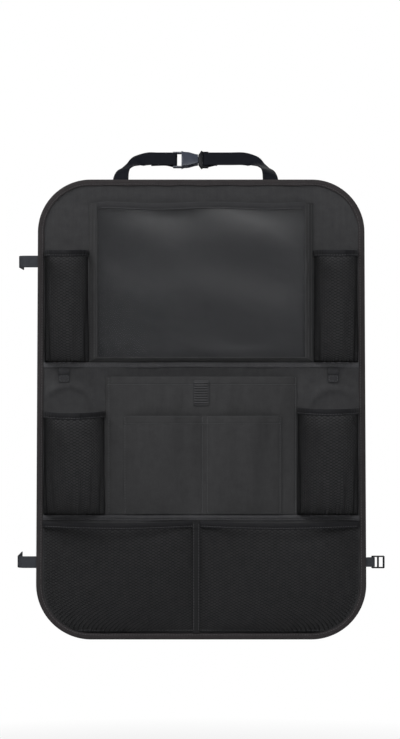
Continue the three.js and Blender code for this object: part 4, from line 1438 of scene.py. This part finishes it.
@dataclass
class DocumentPockets:
    """The wide cloth pocket, the two small ones on it and the ribbed patch near its mouth."""

    depth: float = 13.0
    front_depth: float = 11.0
    divider: float = 4.5
    divider_gap: float = 3.2
    wide_sewn: tuple[float, float] = (4.6, 1.8)
    small_sewn: tuple[float, float] = (1.8, 2.6)
    ribs: int = 9
    border: float = 2.2
    corner: float = 3.2
    rib_height: float = 0.85

    def __post_init__(self) -> None:
        """Reads the pockets' places from the CAD's nodes."""
        low, high = node_box("document_pocket")
        rows = (low[0] + self.wide_sewn[0], high[0] - self.wide_sewn[1])
        self.wide = ClothPocket("document_pocket", self.document_at, rows, (150, 96), (1.03, 1.02))
        low, high = node_box("front_pocket")
        middle, gap = self.divider, self.divider_gap
        rows = (low[0] + self.small_sewn[0], high[0] - self.small_sewn[1], middle - gap, middle + gap)
        self.small = ClothPocket("front_pocket", self.front_at, rows, (150, 80), (1.05, 1.02))

    def document_at(self, x: Array, z: Array) -> Array:
        """Gives the height of the wide pocket's back face.

        It is the depth times one less the fourth power of the share across, times the cosine of the share
        down, with soft upright folds that fade at its edges.

        Args:
            x: places across.
            z: places up.

        Returns:
            The height in front of the panel.
        """
        box = self.wide
        across = 1 - np.clip(np.abs(x) / box.right, 0, 1) ** 4
        down = np.clip((box.top - z) / (box.top - box.bottom), 0, 1)
        folds = 0.9 * ripples(x, z * 0.5, 51, (16, 60), 0.35) * across * np.sin(down * math.pi) ** 0.5
        return self.depth * across * np.cos(down * math.pi / 2) + folds

    def front_at(self, x: Array, z: Array) -> Array:
        """Gives the height of the small pockets' back face: a half sine over each bay, on the wide pocket.

        Args:
            x: places across.
            z: places up.

        Returns:
            The height in front of the panel.
        """
        box = self.small
        left_bay = (x - box.left) / (self.divider - box.left)
        right_bay = (x - self.divider) / (box.right - self.divider)
        bay = np.sin(np.clip(np.where(x < self.divider, left_bay, right_bay), 0, 1) * math.pi)
        down = np.clip((box.top - z) / (box.top - self.wide.bottom), 0, 1)
        bulge = self.front_depth * bay * np.cos(down * math.pi / 2)
        folds = 1.15 * ripples(x, z * 0.4, 53, (14, 44), 0.3) * np.sqrt(bay) * (1 - 0.6 * down)
        return self.document_at(x, z) + CLOTH + 0.15 + np.maximum(bulge + folds, 0)

    def build_patch(self) -> Piece:
        """Builds the ribbed patch: rounded ribs, each one period of a cosine, inside a plain border.

        Returns:
            The new object.
        """
        low, high = node_box("ribbed_patch")
        z = np.linspace(low[2], high[2], 150)[:, None]
        middle, half = (low[0] + high[0]) / 2, (high[0] - low[0]) / 2
        end = np.minimum(z - low[2], high[2] - z)
        past = np.maximum(self.corner - end, 0)
        inset = half - self.corner + np.sqrt(np.maximum(self.corner**2 - past**2, 0))
        x = middle + inset * edge_lines(-1, 1, 24, 0.06)
        pitch = (high[2] - low[2] - 2 * self.border) / self.ribs
        wave = 0.5 - 0.5 * np.cos((z - low[2] - self.border) / pitch * 2 * math.pi)
        side = smooth((half - self.border - np.abs(x - middle) + 0.6) / 0.8)
        gap = np.minimum(inset - np.abs(x - middle), end)
        z = np.broadcast_to(z, x.shape)
        thick = rounded_thickness(gap, 1.0) + self.rib_height * wave * (end > self.border) * side
        shape = layer(x, z, self.wide.back(x, z) + CLOTH, thick)
        return place_piece("ribbed_patch_rubber", shape, Look(SOFT_RUBBER, "patch_rubber", "ribbed_patch"))

    def build(self) -> None:
        """Builds the stitching of both pockets, the patch and the cloths."""
        rows = [*self.wide.stitch_rows(), *self.small.stitch_rows()]
        self.wide.build("panel_cloth", [sew("document_stitches", rows, "oxford_cloth"), self.build_patch()])
        self.small.build("document_pocket_cloth")


# Loops and straps


@dataclass(frozen=True)
class Webbing:
    """A kind of webbing: its finish, its slot name and its thickness."""

    finish: Finish
    slot: str
    thick: float

    def lay(self, node: str, path: Array, across: Array, width: float, held: str, rests_on: Sequence[str],
            rows: Sequence[tuple[Array, Array]] = ()) -> None:
        """Lays a webbing along a path, and sews it.

        Args:
            node: the CAD node that it stands for.
            path: its middle line, (n, 3).
            across: the direction across it, one or one for each point.
            width: its width.
            held: how it is held; not used.
            rests_on: names of what it lies on or hangs from; not used.
            rows: its rows of stitches.
        """
        shape = ribbon(path, across, width, self.thick)
        piece = place_piece(f"{node}_webbing", shape, Look(self.finish, self.slot, node))
        trims = [sew(f"{node}_stitches", rows, self.slot)] if rows else []


LOOP = Webbing(LOOP_WEBBING, "side_webbing", 1.25)
STRAP = Webbing(STRAP_WEBBING, "strap_webbing", 1.4)
SIDE = Webbing(SIDE_WEBBING, "side_webbing", 1.2)


@dataclass
class HangingLoop:
    """A short webbing loop, sewn flat to the panel with a box of stitches at its lower half."""

    node: str
    arch: float = 2.4
    sewn_side: float = 1.8
    sewn_foot: float = 1.6
    sewn_top: float = 1.0
    sewn_height: float = 1.28

    def build(self) -> None:
        """Builds the loop, which lifts by a half sine over its upper half, and its box stitching."""
        low, high = node_box(self.node)
        z = np.linspace(high[2], low[2], 60)
        length = high[2] - low[2]
        lift = self.arch * np.sin(np.clip((high[2] - z) / (length / 2), 0, 1) * math.pi)
        middle = (low[0] + high[0]) / 2
        path = on_panel(middle, lift + LOOP.thick / 2 + 0.025, z)
        half = (high[0] - low[0]) / 2 - self.sewn_side
        left, right = middle - half, middle + half
        top, bottom = high[2] - length / 2 - self.sewn_top, low[2] + self.sewn_foot
        sides = [((left, top), (right, top)), ((left, bottom), (right, bottom)),
                 ((left, bottom), (left, top)), ((right, bottom), (right, top))]
        rows = [(seam(start, end, lambda x, z: x * 0 + self.sewn_height), OUT) for start, end in sides]
        LOOP.lay(self.node, path, RIGHT, high[0] - low[0], "folded", ["panel_cloth"], rows)


@dataclass
class TopStraps:
    """The two webbings of the top strap, each round a bar of the buckle and back on itself.

    The buckle leans back. A turn gives the shares of the way in, back and up that a webbing has gone, and
    the direction across it there.
    """

    width: float = 19.5
    rise: float = 30.0
    reach: float = 50.0
    inset: float = 34.0
    lean: float = math.radians(28)
    buckle_x: float = -4.0
    bar_radius: float = 1.8
    bar_gap: float = 0.4
    socket_end: float = -26.9
    plug_end: float = 7.8
    root_y: float = SEAM + 0.7
    top: float = 292.0
    turns: tuple[tuple[float, ...], ...] = (
        (0.03, 0.09, 0.24, 0.93, -0.36, 0.03),
        (0.09, 0.25, 0.43, 0.79, -0.61, 0.04),
        (0.235, 0.465, 0.57, 0.52, -0.85, -0.05),
        (0.43, 0.7, 0.72, 0.3, -0.89, -0.35),
        (0.656, 0.92, 0.9, 0.2, -0.62, -0.76),
    )

    def from_buckle(self, along: float, through: float) -> Array:
        """Gives the place of a point of the buckle's own frame, on its middle line."""
        y, z = through * math.cos(self.lean), -through * math.sin(self.lean)
        return np.array([self.buckle_x + along, self.reach + y, self.top + self.rise + z])

    def build_one(self, node: str, start_x: float, inward: int, bar_x: float, tail: float,
                  slack: float, rests_on: str) -> None:
        """Builds one webbing.

        Args:
            node: the CAD node that it stands for.
            start_x: the middle of its root.
            inward: 1 if it runs to the right, -1 if it runs to the left.
            bar_x: the place of its bar in the buckle's frame.
            tail: the length of its loose end.
            slack: how far its turn round the bar reaches, as a share of the tight one.
            rests_on: the half of the buckle that holds it.
        """
        loop = self.bar_radius + self.bar_gap + STRAP.thick / 2
        start = np.array([start_x, self.root_y, self.top])
        run_x = start_x + inward * self.inset - self.buckle_x
        span = self.from_buckle(run_x, -loop) - start
        points = [start - 8 * UP, start - 4 * UP, start]
        across = [inward * RIGHT] * 3
        for turn in self.turns:
            points.append(start + span * turn[:3])
            across.append(np.array([inward * turn[3], turn[4], turn[5]]))
        tail_y = -loop + STRAP.thick + 0.25
        plain = [(x, -loop) for x in (run_x, (run_x + bar_x - inward * 12) / 2, bar_x - inward * 8)]
        plain += [(bar_x + inward * loop * slack * math.sin(turn), -loop * math.cos(turn))
                  for turn in np.linspace(0, math.pi, 9)]
        plain += [(bar_x - inward * 10, tail_y), (bar_x - inward * (tail * 0.6 + 4), tail_y),
                  (bar_x - inward * tail, tail_y + 0.6)]
        points += [self.from_buckle(along, through) for along, through in plain]
        across += [np.array([0.0, -math.sin(self.lean), -math.cos(self.lean)])] * len(plain)
        path = smooth_path(np.concatenate([np.array(points), unit(np.array(across))], axis=1), 260)
        line, wide = path[:, :3], path[:, 3:]
        ahead = unit(np.gradient(line, axis=0))
        wide = unit(wide - ahead * np.sum(wide * ahead, axis=1, keepdims=True))
        STRAP.lay(node, line, wide, self.width, "stretched", ["panel_cloth", rests_on])

    def build(self) -> None:
        """Builds both webbings."""
        slot = self.bar_radius + STRAP.thick + self.bar_gap
        socket_bar, plug_bar = self.socket_end - slot, self.plug_end + slot
        self.build_one("top_strap_left", -102.2, 1, socket_bar, 30, 1.0, "buckle_socket_moulded")
        self.build_one("top_strap_right", 88.0, -1, plug_bar, 13, 1.62, "buckle_plug_moulded")


@dataclass
class MouldedParts:
    """The buckle's halves and the slider: the CAD's solids with their edges rounded."""

    edge: float = 0.45
    nodes: tuple[tuple[str, Finish], ...] = (
        ("buckle_socket", REFLECTION_PAINTED_ACETAL), ("buckle_plug", DARK_ACETAL), ("strap_slider", DARK_ACETAL),
    )

    def build(self) -> None:
        """Copies each solid, merges its loose triangles into flat faces and rounds its edges."""
        for node, finish in self.nodes:
            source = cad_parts[node]
            shell = bmesh.new()
            shell.from_mesh(source.data)
            shell.transform(source.matrix_world)
            bmesh.ops.remove_doubles(shell, verts=shell.verts, dist=1e-6)
            bmesh.ops.dissolve_limit(shell, angle_limit=math.radians(2), verts=shell.verts,
                                     edges=shell.edges)
            sharp = [e for e in shell.edges if e.is_manifold and e.calc_face_angle() > math.radians(35)]
            bmesh.ops.bevel(shell, geom=sharp, offset=self.edge * MM, segments=2, affect="EDGES",
                            profile=0.5, clamp_overlap=True)
            bmesh.ops.recalc_face_normals(shell, faces=shell.faces)
            mesh = bpy.data.meshes.new(f"{node}_moulded")
            shell.to_mesh(mesh)
            shell.free()
            dress(f"{node}_moulded", mesh, Look(finish, "buckle_plastic", node, crease=40.0))


@dataclass
class SideStraps:
    """The webbings at the panel's sides: two that bend back at the left, and the slider's tab."""

    panel: Panel
    width: float = 15.0
    root: float = 8.0
    out: float = 14.0
    bend: float = 10.0
    back: float = 60.0
    y: float = SEAM + 0.6
    bar: tuple[float, float] = (2.4, 2.6)
    bar_x: float = 5.5

    def lay(self, node: str, route: list[tuple[float, float]], z: float, steps: int, width: float,
            held: str, *rests_on: str) -> None:
        """Lays a webbing along a smooth curve at one height through places across and back."""
        path = smooth_path(np.array([(x, y, z) for x, y in route]), steps)
        SIDE.lay(node, path, UP, width, held, ["panel_cloth", *rests_on])

    def build_strap(self, node: str) -> None:
        """Builds a strap that comes out from behind the panel's edge and bends back by a quarter circle.

        Args:
            node: the CAD node that it stands for.
        """
        low, high = node_box(node)
        z = (low[2] + high[2]) / 2
        edge = -float(self.panel.side_at(z))
        turn_x = edge - self.out
        route = [(edge + self.root, self.y), (edge + 4, self.y), (edge, self.y), (turn_x, self.y)]
        route += [(turn_x - self.bend * math.sin(turn), self.y + self.bend * (1 - math.cos(turn)))
                  for turn in np.linspace(0, math.pi / 2, 7)[1:]]
        route += [(turn_x - self.bend, self.y + self.bend + self.back * share) for share in (0.5, 1.0)]
        self.lay(node, route, z, 110, self.width, "hung")

    def build_tab(self) -> None:
        """Builds the narrow tab, doubled round the slider's bar by a half circle."""
        low, high = node_box("slider_tab")
        z = (low[2] + high[2]) / 2
        edge = float(self.panel.side_at(z))
        radius = math.hypot(*self.bar) / 2 + SEAM + SIDE.thick / 2
        bar_x = edge + self.bar_x + radius
        route = [(edge - self.root, self.y), (edge - 4, self.y), (edge, self.y), (bar_x, self.y)]
        route += [(bar_x + radius * math.sin(turn), self.y + radius * (1 - math.cos(turn)))
                  for turn in np.linspace(0, math.pi, 9)[1:]]
        route += [(x, self.y + SIDE.thick + 0.2) for x in (bar_x - 8, edge - 4, edge - self.root)]
        self.lay("slider_tab", route, z, 130, high[2] - low[2], "folded", "strap_slider_moulded")

    def build(self) -> None:
        """Builds both straps and the tab."""
        self.build_strap("side_strap_upper")
        self.build_strap("side_strap_lower")
        self.build_tab()


# Studio


@dataclass
class Studio:
    """The plain pale floor, the soft light and the camera at the photograph's angle.

    The picture is 400 by 739 pixels at 1.269 mm a pixel on the panel's face, and its middle lies 1.5 mm
    to the left of the origin and 50.8 mm above it. A mirror ray finds the room and the floor as dim as the
    room's light, because few rays do so in the clear film and a bright surrounding would make grain there.
    """

    scale: float = 1.269
    picture: tuple[int, int] = (400, 739)
    middle: tuple[float, float] = (-1.5, 50.8)
    distance: float = 2600.0
    floor_z: float = -640.0
    floor_reach: float = 30.0
    room_light: float = 0.16

    def build_camera(self) -> None:
        """Aims the camera level along +Y at the picture's middle."""
        camera = bpy.data.cameras.new("camera")
        camera.sensor_width = 36.0
        camera.lens = camera.sensor_width * self.distance / (self.picture[1] * self.scale)
        camera.clip_start, camera.clip_end = 0.05, 50.0
        holder = bpy.data.objects.new("camera", camera)
        x, z = self.middle
        holder.location = (x * MM, -(self.distance + PANEL_FRONT) * MM, z * MM)
        holder.rotation_euler = (math.pi / 2, 0.0, 0.0)
        bpy.context.scene.collection.objects.link(holder)
        bpy.context.scene.camera = holder

    def build_floor(self) -> None:
        """Lays the floor: pale near the object, and fading to plain white with distance."""
        mesh = bpy.data.meshes.new("floor")
        reach = self.floor_reach
        corners = [(-reach, -reach), (reach, -reach), (reach, reach), (-reach, reach)]
        mesh.from_pydata([(x, y, self.floor_z * MM) for x, y in corners], [], [(0, 1, 2, 3)])
        material = bpy.data.materials.new("pale floor, matt paint")
        material.use_nodes = True
        tree = material.node_tree
        shader = tree.nodes["Principled BSDF"]
        shader.inputs["Base Color"].default_value = linear(0xF2F2F2)
        shader.inputs["Roughness"].default_value = 0.9
        place = add_node(tree, "ShaderNodeTexCoord").outputs["Object"]
        far = add_node(tree, "ShaderNodeVectorMath", {0: place}, operation="LENGTH")
        fade = add_node(tree, "ShaderNodeMapRange", {"Value": far.outputs["Value"], "From Min": 0.6,
                                                     "From Max": 1.6})
        rays = add_node(tree, "ShaderNodeLightPath")
        seen = add_node(tree, "ShaderNodeMath", {0: fade.outputs[0], 1: rays.outputs["Is Camera Ray"]},
                        operation="MULTIPLY")
        white = add_node(tree, "ShaderNodeEmission", {"Color": (1, 1, 1, 1), "Strength": 1.0})
        dull = add_node(tree, "ShaderNodeEmission", {"Color": (1, 1, 1, 1), "Strength": self.room_light})
        mixed = add_node(tree, "ShaderNodeMixShader", {0: seen.outputs[0], 1: shader.outputs[0],
                                                       2: white.outputs[0]})
        shown = add_node(tree, "ShaderNodeMixShader", {0: rays.outputs["Is Glossy Ray"], 1: mixed.outputs[0],
                                                       2: dull.outputs[0]})
        tree.links.new(shown.outputs[0], tree.nodes["Material Output"].inputs["Surface"])
        mesh.materials.append(material)
        floor = bpy.data.objects.new("floor", mesh)
        bpy.context.scene.collection.objects.link(floor)

    def build_lamp(self, name: str, place: tuple[float, float, float], size: float, power: float) -> None:
        """Hangs a square soft lamp that faces the object.

        Args:
            name: the lamp's name.
            place: where it hangs, in metres.
            size: the length of its side, in metres.
            power: its power in watts.
        """
        lamp = bpy.data.lights.new(name, "AREA")
        lamp.energy, lamp.size = power, size
        holder = bpy.data.objects.new(name, lamp)
        x, y, z = place
        holder.location = place
        holder.rotation_euler = (math.atan2(math.hypot(x, y), z), 0.0, math.atan2(x, -y))
        bpy.context.scene.collection.objects.link(holder)

    def build_world(self) -> None:
        """Lights the scene softly from all round, and shows plain white to the camera and through film."""
        world = bpy.data.worlds.new("studio")
        bpy.context.scene.world = world
        world.use_nodes = True
        tree = world.node_tree
        tree.nodes.clear()
        rays = add_node(tree, "ShaderNodeLightPath")
        white = add_node(tree, "ShaderNodeBackground", {"Color": (1, 1, 1, 1), "Strength": 1.0})
        soft = add_node(tree, "ShaderNodeBackground", {"Color": (0.93, 0.96, 1.0, 1),
                                                       "Strength": self.room_light})
        either = add_node(tree, "ShaderNodeMath", {0: rays.outputs["Is Camera Ray"],
                                                   1: rays.outputs["Is Transmission Ray"]},
                          operation="MAXIMUM")
        mixed = add_node(tree, "ShaderNodeMixShader", {0: either.outputs[0], 1: soft.outputs[0],
                                                       2: white.outputs[0]})
        add_node(tree, "ShaderNodeOutputWorld", {0: mixed.outputs[0]})

    def build(self) -> None:
        """Builds the camera, the floor, the lamps and the world."""
        self.build_camera()
        self.build_floor()
        self.build_lamp("key", (-1.4, -1.3, 2.4), 1.6, 53)
        self.build_lamp("front", (0.4, -2.7, 1.3), 1.4, 48)
        self.build_lamp("behind", (0.8, 2.2, 1.8), 1.6, 20)
        self.build_world()
        bpy.context.scene.view_settings.view_transform = "Standard"


def main() -> None:
    """Builds the studio and the organizer."""
    panel = Panel()
    for part in (
        Studio(), panel, WindowPocket(),
        ArchedPocket("bottle_left", 71, 0.06, 5, 2.2),
        ArchedPocket("bottle_right", 72, 0.06, 5, 2.0),
        ArchedPocket("cup_left", 73, 0.42, 8, 1.6),
        ArchedPocket("cup_right", 74, 0.12, 7, 1.2),
        DocumentPockets(), BottomPockets("lower", 61, panel),
        HangingLoop("hanging_loop_left"), HangingLoop("hanging_loop_right"),
        TopStraps(), SideStraps(panel), MouldedParts(),
    ):
        part.build()
        log.info("%s built", type(part).__name__)


if __name__ == "__main__":
    main()
